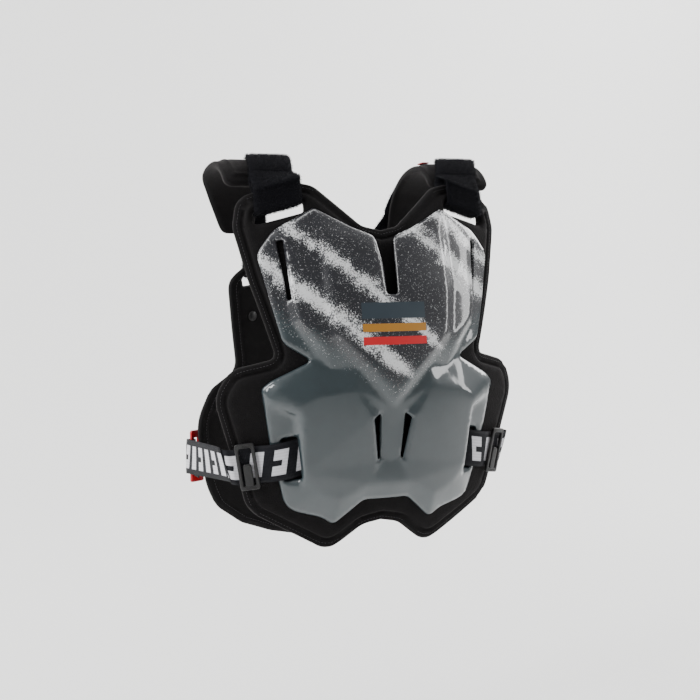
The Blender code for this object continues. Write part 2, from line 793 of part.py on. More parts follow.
window_half = SIDE_STRAP_WIDTH / 2 + WINDOW_ROOM
strap_window = rounded([
    (WINDOW_PLACE - 0.0095, SIDE_STRAP_HEIGHT + window_half + 0.003, 0.003),
    (WINDOW_PLACE + 0.0055, SIDE_STRAP_HEIGHT + window_half, 0.003),
    (WINDOW_PLACE + 0.0005, SIDE_STRAP_HEIGHT - window_half, 0.003),
    (WINDOW_PLACE - 0.0155, SIDE_STRAP_HEIGHT - window_half + 0.003, 0.003),
], True)
vents = [rounded(on_panel(rows, *FRONT_PLATE), True) for rows in (UPPER_VENT, LOWER_VENT)]
_, front_lift = make_shell(
    "front_shell", FRONT_SHELL_OUTLINE, FRONT_PLATE, front_bend,
    (FRONT_RELIEF, FRONT_CREASES, SHELL_RISE), [*vents, strap_window], SHELL_PLASTIC)
make_shell(
    "back_shell", BACK_SHELL_OUTLINE, BACK_PLATE, back_bend,
    (BACK_RELIEF, BACK_CREASES, BACK_SHELL_RISE), [back_side_slot], BACK_PLASTIC)

SIDES = ((-1, "right"), (1, "left"))


def mirrored(point, side):
    """A point worked out for the wearer's left, on the side asked for."""
    return Vector((point.x * side, point.y, point.z))


# Rivets on the inner face of the back panel
for side, side_name in SIDES:
    for level, (across, down) in zip(("upper", "lower"), RIVET_PLACES):
        point, outward = back_bend(across * BACK_PANEL[0], BACK_TOP - down * BACK_HEIGHT)
        inward = mirrored(-outward, side)
        head = bmesh.new()
        bmesh.ops.create_uvsphere(head, u_segments=14, v_segments=8, radius=RIVET_DIAMETER / 2)
        bmesh.ops.bisect_plane(head, geom=head.verts[:] + head.edges[:] + head.faces[:],
                               plane_co=(0, 0, 0), plane_no=(0, 0, -1), clear_outer=True)
        bmesh.ops.holes_fill(head, edges=[e for e in head.edges if e.is_boundary])
        bmesh.ops.scale(head, vec=(1, 1, 2 * RIVET_RISE / RIVET_DIAMETER), verts=head.verts[:])
        made = finish(f"back_rivet_{level}_{side_name}", head, SLIDE_PLASTIC)
        made.matrix_world = inward.to_track_quat("Z", "Y").to_matrix().to_4x4()
        made.location = mirrored(point, side) + inward * (PAD_THICKNESS + BENT_SEAT_GAP)


# Shoulder pads
shoulder_rows = [(SHOULDER_INNER + a * SHOULDER_WIDTH, r * SHOULDER_LENGTH, radius)
                 for a, r, radius in SHOULDER_OUTLINE]
shoulder_loop = rounded(shoulder_rows, True)
for side, side_name in SIDES:
    border = inset(shoulder_loop, PAD_RIM_WIDTH)
    sheet = flat_sheet(shoulder_loop, [], border, [])

    def place(x, run, outer, side=side):
        point, outward = shoulder_bend(x, run)
        spot = Vector((x, run))
        near = min((spot - p).length for p in shoulder_loop)
        drop = SHOULDER_THICKNESS - SHOULDER_RIM_THICKNESS if near < 1e-5 else 0.0
        depth = drop if outer > 0.5 else SHOULDER_THICKNESS
        return mirrored(point - outward * depth, side)

    slab(f"shoulder_pad_{side_name}", sheet, place, PAD_FABRIC)


def steps(first, last, count):
    """Evenly spaced values from first to last."""
    return [first + (last - first) * k / count for k in range(count + 1)]


# Straps over the shoulders.  Each rail follows one edge of the strap.
def front_strap_rail(across, side):
    """One lengthwise line: down behind the front bar, through the slot, and up over itself."""
    lay = SHOULDER_STRAP_THICKNESS / 2 + STRAP_GAP
    double = lay + SHOULDER_STRAP_THICKNESS + SEAT_GAP
    x = SHOULDER_STRAP_CENTRE + across * SHOULDER_STRAP_WIDTH / 2
    shift = SHOULDER_STRAP_SHIFT + side * SHOULDER_STRAP_SKEW
    bar_top = front_edge(x)
    bar_low = bar_top - SLOT_BAR

    def on_shoulder(share, lift):
        moved = x + shift * share / SHOULDER_STRAP_TOP
        point, outward = shoulder_bend(moved, share * SHOULDER_LENGTH)
        return point + outward * lift

    run = [on_shoulder(share, lay) for share in steps(0.31, 0.00, STRAP_STEPS)]
    behind = PAD_THICKNESS + lay + STRAP_GAP
    for z, depth in ((bar_top - 0.004, behind), (bar_low - 0.0008, behind),
                     (bar_low - lay - 0.0012, PAD_THICKNESS + 0.001),
                     (bar_low - lay - 0.0014, PAD_THICKNESS * 0.5),
                     (bar_low - lay - 0.0012, -0.0006), (bar_low - 0.001, -lay - STRAP_GAP),
                     (bar_low + 0.006, -lay - STRAP_GAP), (bar_top - 0.002, -lay - STRAP_GAP),
                     (bar_top + 0.003, -lay)):
        point, outward = front_bend(x, z)
        run.append(point - outward * depth)
    run.extend(on_shoulder(share, double) for share in steps(0.05, 0.27, STRAP_STEPS))
    return run


def rear_strap_rail(across, side):
    """One lengthwise line: down the shoulder pad's back, through the rear slot, up behind it."""
    lay = SHOULDER_STRAP_THICKNESS / 2 + STRAP_GAP
    half = across * REAR_STRAP_WIDTH / 2
    x_low = REAR_STRAP_CENTRE + half
    x_top = REAR_STRAP_TOP_CENTRE + half + side * REAR_STRAP_SKEW
    x_end = REAR_STRAP_LOW_CENTRE + half + side * REAR_STRAP_SKEW
    bar_top = back_edge(x_low)
    bar_low = bar_top - BACK_SLOT_BAR
    run = []
    count = STRAP_STEPS // 2
    for x, share in zip(steps(x_top, x_end, count), steps(0.56, 0.90, count)):
        point, outward = shoulder_bend(x, share * SHOULDER_LENGTH)
        run.append(point + outward * lay)
    inner = PAD_THICKNESS + lay + STRAP_GAP
    for z, depth in ((bar_top + 0.004, -lay - 0.001), (bar_top - 0.004, -lay - STRAP_GAP),
                     (bar_low - 0.001, -lay - STRAP_GAP), (bar_low - lay - 0.0012, -0.0006),
                     (bar_low - lay - 0.0014, PAD_THICKNESS * 0.5),
                     (bar_low - lay - 0.0012, PAD_THICKNESS + 0.001),
                     (bar_low - 0.0008, inner), (bar_low + 0.008, inner)):
        point, outward = back_bend(x_low, z)
        run.append(point - outward * depth)
    return run


for side, side_name in SIDES:
    for end, rail in (("front", front_strap_rail), ("rear", rear_strap_rail)):
        rails = [[mirrored(p, side) for p in rail(across, side)] for across in (-1, 0, 1)]
        ribbon(f"{end}_shoulder_strap_{side_name}", rails, SHOULDER_STRAP_THICKNESS, HOOK_LOOP)

# Small sewn tab on the left shoulder pad, between the strap and the neck
tab_run = TAB_ALONG * SHOULDER_LENGTH
tab_point, tab_outward = shoulder_bend(SHOULDER_INNER + TAB_ACROSS, tab_run)
tab = shaped_ring("shoulder_tab", rounded_box(TAB_WIDTH - 0.001, TAB_LENGTH, 0.001), [],
                  TAB_THICKNESS, HOOK_PLASTIC)
seat(tab, tab_point + tab_outward * (TAB_THICKNESS / 2 + SEAT_GAP * 2), Vector((1, 0, 0)),
     tab_outward.cross(Vector((1, 0, 0))))


# Side straps: from under the front plate, round the foam's edge, to the hook at the back
strap_lean = math.hypot(1.0, SIDE_STRAP_SLOPE)
strap_lay = SIDE_STRAP_THICKNESS / 2 + STRAP_GAP
pad_corner, pad_hem = on_panel(FRONT_PAD_OUTLINE[9:11], *FRONT_PANEL)
flange_lift = SHELL_GAP + SHELL_WALL + 0.10 * SHELL_RISE + strap_lay


def strap_height(x):
    """The side strap's middle line on the front panel."""
    return SIDE_STRAP_HEIGHT - SIDE_STRAP_SLOPE * (x - WINDOW_PLACE)


def pad_edge(z):
    """How far across the front panel's lower edge lies at one height."""
    share = (pad_corner[1] - z) / (pad_corner[1] - pad_hem[1])
    return pad_corner[0] + (pad_hem[0] - pad_corner[0]) * share


strap_edge = pad_edge(strap_height(0.9 * FRONT_PANEL[0]))


def hook_frame(side):
    """The hook's middle, and its directions towards the arm side and away from the torso."""
    x = BACK_PANEL[0] * 0.96 - HOOK_INSET
    z = strap_height(strap_edge) + SIDE_STRAP_REAR_RISE
    point, outward = back_bend(x, z)
    ahead = Vector((outward.y, -outward.x, 0.0)).normalized()
    lift = SHELL_GAP + SHELL_WALL + 0.22 * BACK_SHELL_RISE + SEAT_GAP + HOOK_THICKNESS / 2
    return point + outward * lift, ahead, outward


def side_strap_rail(step):
    """One edge of the side strap for the wearer's left; step is -1 for its lower edge."""
    half = step * SIDE_STRAP_WIDTH / 2
    run = []
    edge = pad_edge(strap_height(strap_edge) + half)
    for x, lift in ((WINDOW_PLACE - 0.026, strap_lay), (WINDOW_PLACE - 0.014, strap_lay + 0.0004),
                    (WINDOW_PLACE - 0.0105, strap_lay + 0.0009),
                    (WINDOW_PLACE - 0.0005, flange_lift), (WINDOW_PLACE + 0.0145, flange_lift),
                    (WINDOW_PLACE + 0.026, strap_lay)):
        across = x + half * SIDE_STRAP_SLOPE / strap_lean
        point, outward = front_bend(across, strap_height(x) + half / strap_lean)
        run.append(point + outward * lift)
    for share in (0.5, 1.0):
        x = across + (edge - 0.003 - across) * share
        point, outward = front_bend(x, strap_height(x) + half)
        run.append(point + outward * strap_lay)
    last = run[-1]
    middle, ahead, outward = hook_frame(1)
    bar = middle + ahead * (HOOK_WIDTH - HOOK_BAR) / 2
    reach = math.hypot(HOOK_BAR, HOOK_THICKNESS) / 2 + SEAT_GAP + SIDE_STRAP_THICKNESS / 2
    rear_z = bar.z + half
    run.append(Vector((last.x + 0.0050, last.y + 0.0020, last.z)))
    run.append(Vector((last.x + 0.0082, last.y + 0.0085, last.z + 0.0006)))
    run.append(Vector((last.x + 0.0084, last.y + 0.0175, last.z + 0.0016)))
    for turn in range(-10, 250, 40):
        angle = math.radians(turn)
        run.append(Vector((bar.x + reach * math.cos(angle), bar.y + reach * math.sin(angle),
                           rear_z)))
    inner = bar.x + reach - SIDE_STRAP_THICKNESS - SEAT_GAP * 2
    run.append(Vector((inner - 0.0010, bar.y - 0.010, rear_z)))
    run.append(Vector((inner, bar.y - 0.016, rear_z)))
    run.append(Vector((inner + 0.0002, bar.y - SIDE_STRAP_LAP, rear_z)))
    return run


# Slides that gather the side straps, and hooks that hold them to the back plate
slide_height = SIDE_STRAP_WIDTH + 2 * SLIDE_OVERHANG
hook_height = SIDE_STRAP_WIDTH + 2 * HOOK_OVERHANG
opening_x = SLIDE_WIDTH / 2 - SLIDE_BAR
opening_y = SIDE_STRAP_WIDTH / 2 + 0.0005
tongue = opening_x - 0.0021
slide_hole = rounded([
    (-opening_x, -opening_y, 0.001), (-tongue, -opening_y, 0.0005),
    (-tongue, opening_y * 0.16, 0.0038), (tongue, opening_y * 0.16, 0.0038),
    (tongue, -opening_y, 0.0005), (opening_x, -opening_y, 0.001),
    (opening_x, opening_y, 0.002), (-opening_x, opening_y, 0.002)], True)
for side, side_name in SIDES:
    rails = [[mirrored(p, side) for p in side_strap_rail(step)] for step in (-1, 0, 1)]
    ribbon(f"side_strap_{side_name}", rails, SIDE_STRAP_THICKNESS, WEBBING)

    x = strap_edge - SLIDE_INSET
    point, outward = front_bend(x, strap_height(x))
    up = mirrored(front_face(x + SIDE_STRAP_SLOPE * 0.01, strap_height(x) + 0.01) - point, side)
    outward = mirrored(outward, side)
    lift = strap_lay + SIDE_STRAP_THICKNESS / 2 + STRAP_GAP + SLIDE_THICKNESS / 2
    slide = shaped_ring(f"strap_slide_{side_name}", rounded_box(SLIDE_WIDTH, slide_height, 0.003),
                        [slide_hole], SLIDE_THICKNESS, SLIDE_PLASTIC)
    seat(slide, mirrored(point, side) + outward * lift, up.cross(outward), up)

    middle, ahead, outward = hook_frame(side)
    ahead = mirrored(ahead, side)
    window = rounded_box(HOOK_WINDOW, SIDE_STRAP_WIDTH + 2 * HOOK_ROOM, 0.001,
                         ((HOOK_WIDTH - HOOK_WINDOW) / 2 - HOOK_BAR, 0.0))
    hook = shaped_ring(f"strap_hook_{side_name}", rounded_box(HOOK_WIDTH, hook_height, 0.0025),
                       [window], HOOK_THICKNESS, HOOK_PLASTIC)
    seat(hook, mirrored(middle, side), ahead, Vector((0, 0, 1)))
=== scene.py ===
"""Looks of a chest protector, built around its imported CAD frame.

The wearer's right is -X and the front faces -Y.  Every piece stands in the frame's own metres.
"""
import math

import bmesh
import bpy
import numpy as np
from mathutils import Matrix, Vector
from mathutils.geometry import delaunay_2d_cdt


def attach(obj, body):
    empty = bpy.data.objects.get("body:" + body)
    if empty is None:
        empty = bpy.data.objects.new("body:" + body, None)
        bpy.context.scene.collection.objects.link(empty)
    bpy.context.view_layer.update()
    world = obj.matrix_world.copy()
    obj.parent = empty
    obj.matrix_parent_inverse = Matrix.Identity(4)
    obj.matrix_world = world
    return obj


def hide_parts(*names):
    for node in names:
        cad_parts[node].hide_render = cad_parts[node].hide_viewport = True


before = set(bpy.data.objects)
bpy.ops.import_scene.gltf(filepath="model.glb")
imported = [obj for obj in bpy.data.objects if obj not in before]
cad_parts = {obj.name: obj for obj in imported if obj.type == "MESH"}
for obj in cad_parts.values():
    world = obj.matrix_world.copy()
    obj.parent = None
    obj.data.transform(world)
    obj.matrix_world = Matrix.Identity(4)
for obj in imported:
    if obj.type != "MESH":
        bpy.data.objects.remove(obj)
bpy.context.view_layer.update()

# Camera
# A longer lens a little above the chest, turned towards the wearer's right side.
CAMERA_TARGET = Vector((0.0, 0.0, -0.185))
CAMERA_TURN = math.radians(-24.0)
CAMERA_RISE = math.radians(4.5)
CAMERA_DISTANCE = 1.5
camera_data = bpy.data.cameras.new("camera")
camera_data.sensor_width = 36.0
camera_data.lens = 71.74
camera_data.clip_end = 30.0
camera = bpy.data.objects.new("camera", camera_data)
bpy.context.scene.collection.objects.link(camera)
towards = Vector((
    math.sin(CAMERA_TURN) * math.cos(CAMERA_RISE),
    -math.cos(CAMERA_TURN) * math.cos(CAMERA_RISE),
    math.sin(CAMERA_RISE),
))
camera.location = CAMERA_TARGET + towards * CAMERA_DISTANCE
camera.rotation_euler = (-towards).to_track_quat("-Z", "Y").to_euler()
bpy.context.scene.camera = camera


# Studio paper
# Seamless white paper on the floor, curved up behind the protector.
# Matt, so nothing of the protector mirrors in it.
def colour(code):
    """An sRGB hex colour as linear RGBA."""
    parts = [int(code[i:i + 2], 16) / 255 for i in (1, 3, 5)]
    linear = [c / 12.92 if c <= 0.04045 else ((c + 0.055) / 1.055) ** 2.4 for c in parts]
    return (*linear, 1.0)


def add(tree, kind, inputs=None, **settings):
    """A node with its settings, and with what feeds each of its sockets."""
    made = tree.nodes.new(kind)
    for key, value in settings.items():
        setattr(made, key, value)
    for socket, value in (inputs or {}).items():
        if isinstance(value, bpy.types.NodeSocket):
            tree.links.new(value, made.inputs[socket])
        else:
            made.inputs[socket].default_value = value
    return made


def new_finish(name, code, roughness):
    """A named material with its tree and its shader."""
    made = bpy.data.materials.new(name)
    made.use_nodes = True
    shader = made.node_tree.nodes["Principled BSDF"]
    shader.inputs["Base Color"].default_value = colour(code)
    shader.inputs["Roughness"].default_value = roughness
    return made, made.node_tree, shader


def new_piece(name, points, faces, finish):
    """A smooth mesh object from points and faces."""
    mesh = bpy.data.meshes.new(name)
    mesh.from_pydata([tuple(p) for p in points], [], [tuple(f) for f in faces])
    mesh.materials.append(finish)
    mesh.shade_smooth()
    made = bpy.data.objects.new(name, mesh)
    bpy.context.scene.collection.objects.link(made)
    return made


PAPER_FLOOR = -0.70
PAPER_BEND = 1.2
paper, _, _ = new_finish("white_paper", "#f4f4f3", 0.95)
profile = [(-4.0, PAPER_FLOOR), (1.6, PAPER_FLOOR)]
for step in range(1, 13):
    angle = math.radians(90 * step / 12)
    profile.append((1.6 + PAPER_BEND * math.sin(angle),
                    PAPER_FLOOR + PAPER_BEND * (1 - math.cos(angle))))
profile.append((1.6 + PAPER_BEND, 4.0))
paper_points = [(x, y, z) for y, z in profile for x in (-5.0, 5.0)]
paper_faces = [(2 * i, 2 * i + 1, 2 * i + 3, 2 * i + 2) for i in range(len(profile) - 1)]
backdrop = new_piece("backdrop", paper_points, paper_faces, paper)


# Studio lights
# A softbox on each side and one overhead, two more on the paper behind, in a white room.
def softbox(name, place, target, width, height, power):
    """A rectangular light that points at a target."""
    data = bpy.data.lights.new(name, "AREA")
    data.shape = "RECTANGLE"
    data.size = width
    data.size_y = height
    data.energy = power
    made = bpy.data.objects.new(name, data)
    bpy.context.scene.collection.objects.link(made)
    made.location = place
    made.rotation_euler = (Vector(target) - Vector(place)).to_track_quat("-Z", "Y").to_euler()
    return made


softbox("left_softbox", (-1.9, -0.7, 0.7), (0.0, 0.0, -0.2), 0.30, 1.3, 26.0)
softbox("right_softbox", (1.7, -0.9, 0.4), (0.0, 0.0, -0.2), 0.30, 1.5, 15.0)
softbox("top_softbox", (0.0, -0.5, 1.5), (0.0, 0.0, -0.2), 1.1, 0.5, 11.0)
softbox("paper_light_left", (-2.6, 0.9, 1.6), (0.6, 2.8, -0.2), 2.2, 2.2, 150.0)
softbox("paper_light_right", (2.6, 0.9, 1.6), (-0.2, 2.8, -0.2), 2.2, 2.2, 150.0)
room = bpy.data.worlds.new("white_room")
bpy.context.scene.world = room
room.use_nodes = True
room.node_tree.nodes["Background"].inputs["Color"].default_value = colour("#ffffff")
room.node_tree.nodes["Background"].inputs["Strength"].default_value = 0.24

# Front foam pad
# A sheet of foam between two layers of black stretch knit, pressed thin at its rim, where the
# press leaves two raised lines.  It follows the chest, and its two slots take the straps.
FRONT_SIZE = (0.170, -0.007, 0.372)
FRONT_REACH = 0.100
FOAM = 0.011
FRONT_LEAN = [(-0.10, 0.62), (0.00, 0.69), (0.21, 0.86), (0.48, 1.00), (0.75, 0.93), (1.00, 0.79)]
FRONT_PAD_EDGE = [
    (0.000, 0.132, 0.000), (0.120, 0.120, 0.020), (0.400, 0.012, 0.022), (0.510, 0.002, 0.020),
    (0.850, 0.044, 0.024), (0.885, 0.125, 0.030), (0.815, 0.270, 0.200), (0.680, 0.478, 0.009),
    (0.930, 0.508, 0.026), (1.020, 0.585, 0.040), (0.812, 0.900, 0.034), (0.330, 1.018, 0.028),
    (0.120, 0.948, 0.030), (0.000, 0.938, 0.000),
]


def smooth_run(points, pieces):
    """A Catmull-Rom curve through points, as an array."""
    p = [np.array(q, float) for q in points]
    p = [2 * p[0] - p[1], *p, 2 * p[-1] - p[-2]]
    out = []
    for a, b, c, d in zip(p, p[1:], p[2:], p[3:]):
        for step in range(pieces):
            t = step / pieces
            out.append(0.5 * (2 * b + (c - a) * t + (2 * a - 5 * b + 4 * c - d) * t ** 2
                              + (3 * b - a - 3 * c + d) * t ** 3))
    out.append(p[-2])
    return np.array(out)


FRONT_LINE = smooth_run(FRONT_LEAN, 12)


def front_depth(x, z):
    """Where the front pad's outer face lies, for arrays of x and z."""
    down = (FRONT_SIZE[1] - z) / FRONT_SIZE[2]
    radius = 0.380 - 0.070 * np.clip(down, 0, 1)
    sag = radius * (1 - np.sqrt(np.maximum(1 - (x / radius) ** 2, 0.05)))
    return sag - FRONT_REACH * np.interp(down, FRONT_LINE[:, 0], FRONT_LINE[:, 1])


def laid_on(depth, side, flat, lift):
    """Flat x and z points laid on a bent panel, lifted outwards by metres."""
    x, z = flat[:, 0], flat[:, 1]
    step = 0.0015
    slope_x = (depth(x + step, z) - depth(x - step, z)) / (2 * step)
    slope_z = (depth(x, z + step) - depth(x, z - step)) / (2 * step)
    outward = np.stack((slope_x, -np.ones_like(x), slope_z), 1) * -side
    outward /= np.linalg.norm(outward, axis=1)[:, None]
    lift = np.broadcast_to(lift, x.shape)
    return np.stack((x, depth(x, z), z), 1) + outward * lift[:, None]


def on_front(flat, lift):
    """Points on the front pad's face."""
    return laid_on(front_depth, -1, np.asarray(flat, float), lift)


def rounded_path(corners, closed, step=0.0025):
    """Corners (x, z, radius) turned into a path of short steps with rounded turns."""
    path = []
    count = len(corners)
    for i, (x, z, radius) in enumerate(corners):
        corner = Vector((x, z))
        if not closed and i in (0, count - 1):
            path.append(corner)
            continue
        before = Vector(corners[i - 1][:2]) - corner
        after = Vector(corners[(i + 1) % count][:2]) - corner
        turn = math.pi - before.angle(after)
        reach = min(radius * math.tan(turn / 2), 0.48 * before.length, 0.48 * after.length)
        first = corner + before.normalized() * reach
        last = corner + after.normalized() * reach
        pieces = max(2, math.ceil(reach * 2 / step))
        path.extend(first * (1 - k / pieces) ** 2 + corner * 2 * (k / pieces) * (1 - k / pieces)
                    + last * (k / pieces) ** 2 for k in range(pieces + 1))
    ends = path[1:] + path[:1] if closed else path[1:]
    out = []
    for a, b in zip(path, ends):
        pieces = math.ceil((b - a).length / step - 1e-6)
        out.extend(a.lerp(b, k / pieces) for k in range(pieces))
    if not closed:
        out.append(path[-1])
    return np.array([tuple(p) for p in out])


def panel_corners(rows, size):
    """Rows of shares as corners in metres, for a panel of half width, top and height."""
    return [(across * size[0], size[1] - down * size[2], radius) for across, down, radius in rows]


def panel_outline(rows, size):
    """A whole outline from rows for its half."""
    half = rounded_path(panel_corners(rows, size), False)
    mirror = half[::-1] * (-1, 1)
    return np.concatenate((half, mirror[1:-1]))


def both_sides(loop):
    """A hole and its mirror image."""
    return [loop, loop[::-1] * (-1, 1)]


def edge_gap(spots, loops):
    """How far each spot lies from the nearest of the loops."""
    gap = np.full(len(spots), 9.0)
    for loop in loops:
        run = np.roll(loop, -1, 0) - loop
        span = np.maximum((run ** 2).sum(1), 1e-12)
        for first in range(0, len(spots), 1500):
            some = spots[first:first + 1500, None]
            t = (((some - loop) * run).sum(2) / span).clip(0, 1)
            near = np.sqrt(((loop + t[..., None] * run - some) ** 2).sum(2)).min(1)
            gap[first:first + 1500] = np.minimum(gap[first:first + 1500], near)
    return gap


def within(spots, loop):
    """Which spots lie inside a loop."""
    after = np.roll(loop, -1, 0)
    x, z = spots[:, :1], spots[:, 1:]
    crossing = (loop[:, 1] > z) != (after[:, 1] > z)
    rise = after[:, 1] - loop[:, 1]
    rise = np.where(np.abs(rise) < 1e-12, 1e-12, rise)
    at = loop[:, 0] + (after[:, 0] - loop[:, 0]) * (z - loop[:, 1]) / rise
    return (crossing & (x < at)).sum(1) % 2 == 1


def in_piece(spots, loops):
    """Which spots lie inside the first loop and outside the others."""
    kept = within(spots, loops[0])
    for hole in loops[1:]:
        kept &= ~within(spots, hole)
    return kept


def offset_points(loop, distance, loops):
    """Points beside a loop, inside the piece, all at one distance from its edges."""
    heading = np.roll(loop, -1, 0) - np.roll(loop, 1, 0)
    heading /= np.maximum(np.linalg.norm(heading, axis=1), 1e-9)[:, None]
    across = np.stack((-heading[:, 1], heading[:, 0]), 1)
    both = np.concatenate((loop + across * distance, loop - across * distance))
    kept = in_piece(both, loops)
    kept &= edge_gap(both, loops) > 0.97 * distance
    return both[kept]


def flat_net(loops, rings, spacing, lines=()):
    """The triangles of a flat piece, fine along its edges and its creases."""
    points, edges, cells = [], [], {}

    def crowded(p, room):
        key = (int(p[0] // spacing), int(p[1] // spacing))
        for i in range(key[0] - 1, key[0] + 2):
            for j in range(key[1] - 1, key[1] + 2):
                for q in cells.get((i, j), ()):
                    if abs(p[0] - q[0]) < room and abs(p[1] - q[1]) < room:
                        return True
        return False

    def keep(p):
        points.append(Vector((float(p[0]), float(p[1]))))
        cells.setdefault((int(p[0] // spacing), int(p[1] // spacing)), []).append(p)
        return len(points) - 1

    for loop in loops:
        first = len(points)
        for p in loop:
            keep(p)
        edges.extend((first + i, first + (i + 1) % len(loop)) for i in range(len(loop)))
    corners = {}
    for line in lines:
        last = None
        for a, b in zip(line, line[1:]):
            pieces = max(1, round(math.dist(a, b) / spacing))
            for k in range(pieces + 1):
                p = np.array(a) + (np.array(b) - np.array(a)) * k / pieces
                key = (round(p[0], 6), round(p[1], 6))
                if key not in corners:
                    usable = in_piece(p[None], loops)[0] and edge_gap(p[None], loops)[0] > 0.0012
                    corners[key] = keep(p) if usable else None
                spot = corners[key]
                if spot is not None and last is not None and spot != last:
                    edges.append((last, spot))
                last = spot
    for distance in rings:
        for loop in loops:
            for p in offset_points(loop, distance, loops):
                if not crowded(p, 0.6 * min(spacing, 0.0022)):
                    keep(p)
    low, high = loops[0].min(0), loops[0].max(0)
    rows = np.arange(low[1], high[1], spacing * 0.87)
    grid = np.array([(x + (spacing / 2 if k % 2 else 0), z) for k, z in enumerate(rows)
                     for x in np.arange(low[0], high[0], spacing)])
    grid = grid[in_piece(grid, loops)]
    grid = grid[edge_gap(grid, loops) > (max(rings) if rings else 0) + 0.4 * spacing]
    for p in grid:
        if not crowded(p, 0.55 * spacing):
            keep(p)
    found, _, faces, _, _, _ = delaunay_2d_cdt(points, edges, [], 0, 1e-7)
    flat = np.array([tuple(p) for p in found])
    faces = np.array([f for f in faces if len(f) == 3])
    a, b, c = flat[faces[:, 0]], flat[faces[:, 1]], flat[faces[:, 2]]
    area = np.abs((b[:, 0] - a[:, 0]) * (c[:, 1] - a[:, 1]) - (b[:, 1] - a[:, 1]) * (c[:, 0] - a[:, 0]))
    faces = faces[in_piece((a + b + c) / 3, loops) & (area > 1e-10)]
    used = np.unique(faces)
    renumber = np.zeros(len(flat), int)
    renumber[used] = np.arange(len(used))
    return flat[used], renumber[faces]


def face_outwards(data, weld=None):
    """Points a closed mesh's faces outwards, once points closer than weld are merged."""
    mesh = bmesh.new()
    mesh.from_mesh(data)
    if weld:
        bmesh.ops.remove_doubles(mesh, verts=mesh.verts[:], dist=weld)
    bmesh.ops.recalc_face_normals(mesh, faces=mesh.faces[:])
    mesh.to_mesh(data)
    mesh.free()


def two_faced(name, faces, outer, inner, finish):
    """A closed piece from the same net laid on two surfaces, joined by walls at its edges."""
    count = len(outer)
    sides = {}
    for f in faces:
        for a, b in ((f[0], f[1]), (f[1], f[2]), (f[2], f[0])):
            sides.setdefault((min(a, b), max(a, b)), []).append((a, b))
    walls = [(b, a, a + count, b + count) for found in sides.values() if len(found) == 1
             for a, b in found]
    every = [tuple(f) for f in faces] + [tuple(f[::-1] + count) for f in faces] + walls
    made = new_piece(name, np.concatenate((outer, inner)), every, finish)
    face_outwards(made.data)
    return made


def bump_at(distance, place, width):
    """A smooth ridge of height 1 at one distance from the edge."""
    return np.exp(-((distance - place) / width) ** 2)


def ease(value, low, high):
    """A smooth step from 0 to 1."""
    t = ((value - low) / (high - low)).clip(0, 1)
    return t * t * (3 - 2 * t)


def pressed_foam(gap):
    """How far a foam pad's outer face lies below its full height, by distance from the edge."""
    drop = -0.0036 * (1 - ease(gap, 0.0088, 0.0128))
    drop += 0.0011 * (bump_at(gap, 0.0022, 0.0010) + bump_at(gap, 0.0064, 0.0010))
    drop -= 0.0008 * bump_at(gap, 0.0094, 0.0009)
    return drop - 0.0022 * (1 - ease(gap, 0.0, 0.0016))


# Polyester knit over foam: jersey loops about 0.7 mm apart, drawn at 1.1 mm so that they show.
# It is matt, with a soft sheen where it turns away, and pressing makes it a little smoother.
knit, tree, shader = new_finish("black_polyester_knit", "#080607", 0.85)
shader.inputs["Sheen Weight"].default_value = 0.12
shader.inputs["Sheen Roughness"].default_value = 0.45
shader.inputs["Sheen Tint"].default_value = colour("#8d8486")
shader.inputs["Specular IOR Level"].default_value = 0.20
place = add(tree, "ShaderNodeTexCoord")
loops_seen = add(tree, "ShaderNodeTexVoronoi", {"Vector": place.outputs["Object"], "Scale": 900.0})
patches = add(tree, "ShaderNodeTexNoise", {"Vector": place.outputs["Object"], "Scale": 22.0,
                                          "Detail": 5.0, "Roughness": 0.6})
shade = add(tree, "ShaderNodeMix", {0: patches.outputs["Fac"], 6: colour("#030203"),
                                   7: colour("#070506")}, data_type="RGBA")
fibres = add(tree, "ShaderNodeMix", {0: 0.35, 6: shade.outputs[2],
                                    7: loops_seen.outputs["Distance"]},
             data_type="RGBA", blend_type="OVERLAY")
tree.links.new(fibres.outputs[2], shader.inputs["Base Color"])
weave = add(tree, "ShaderNodeBump", {"Height": loops_seen.outputs["Distance"], "Strength": 0.55,
                                    "Distance": 0.0006})
creases = add(tree, "ShaderNodeTexNoise", {"Vector": place.outputs["Object"], "Scale": 55.0,
                                          "Detail": 3.0})
soft = add(tree, "ShaderNodeBump", {"Height": creases.outputs["Fac"], "Strength": 0.35,
                                   "Distance": 0.0012, "Normal": weave.outputs["Normal"]})
tree.links.new(soft.outputs["Normal"], shader.inputs["Normal"])


def front_tab_edge(x):
    """The top edge of the front pad's shoulder tab."""
    return -0.0077 - 0.2704 * (x - 0.0867)


def slot_hole(centre, edge, bar, width):
    """The slot below a tab's bar, 14 mm high."""
    rows = []
    for side, drop in ((-1, 0.0), (1, 0.0), (1, 0.014), (-1, 0.014)):
        x = centre + side * width / 2
        rows.append((x, edge(x) - bar - drop, 0.0058))
    return rounded_path(rows, True, 0.0018)


front_slots = both_sides(slot_hole(0.105, front_tab_edge, 0.019, 0.051))
front_loops = [panel_outline(FRONT_PAD_EDGE, FRONT_SIZE), *front_slots]
RIM_RINGS = (0.0007, 0.0016, 0.0028, 0.0042, 0.0054, 0.0066, 0.0080, 0.0094, 0.0110, 0.0130)
flat, faces = flat_net(front_loops, RIM_RINGS, 0.0045)
rim_gap = edge_gap(flat, front_loops[:1])
slot_gap = edge_gap(flat, front_loops[1:])
height = pressed_foam(rim_gap)
height -= 0.0030 * (1 - ease(slot_gap, 0.0, 0.0030)) * ease(rim_gap, 0.0, 0.004)
under = -FOAM + 0.0016 * (1 - ease(np.minimum(rim_gap, slot_gap), 0.0, 0.0030))
front_pad = two_faced("front_foam_pad", faces, on_front(flat, height), on_front(flat, under), knit)
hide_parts("front_pad")
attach(front_pad, "root")

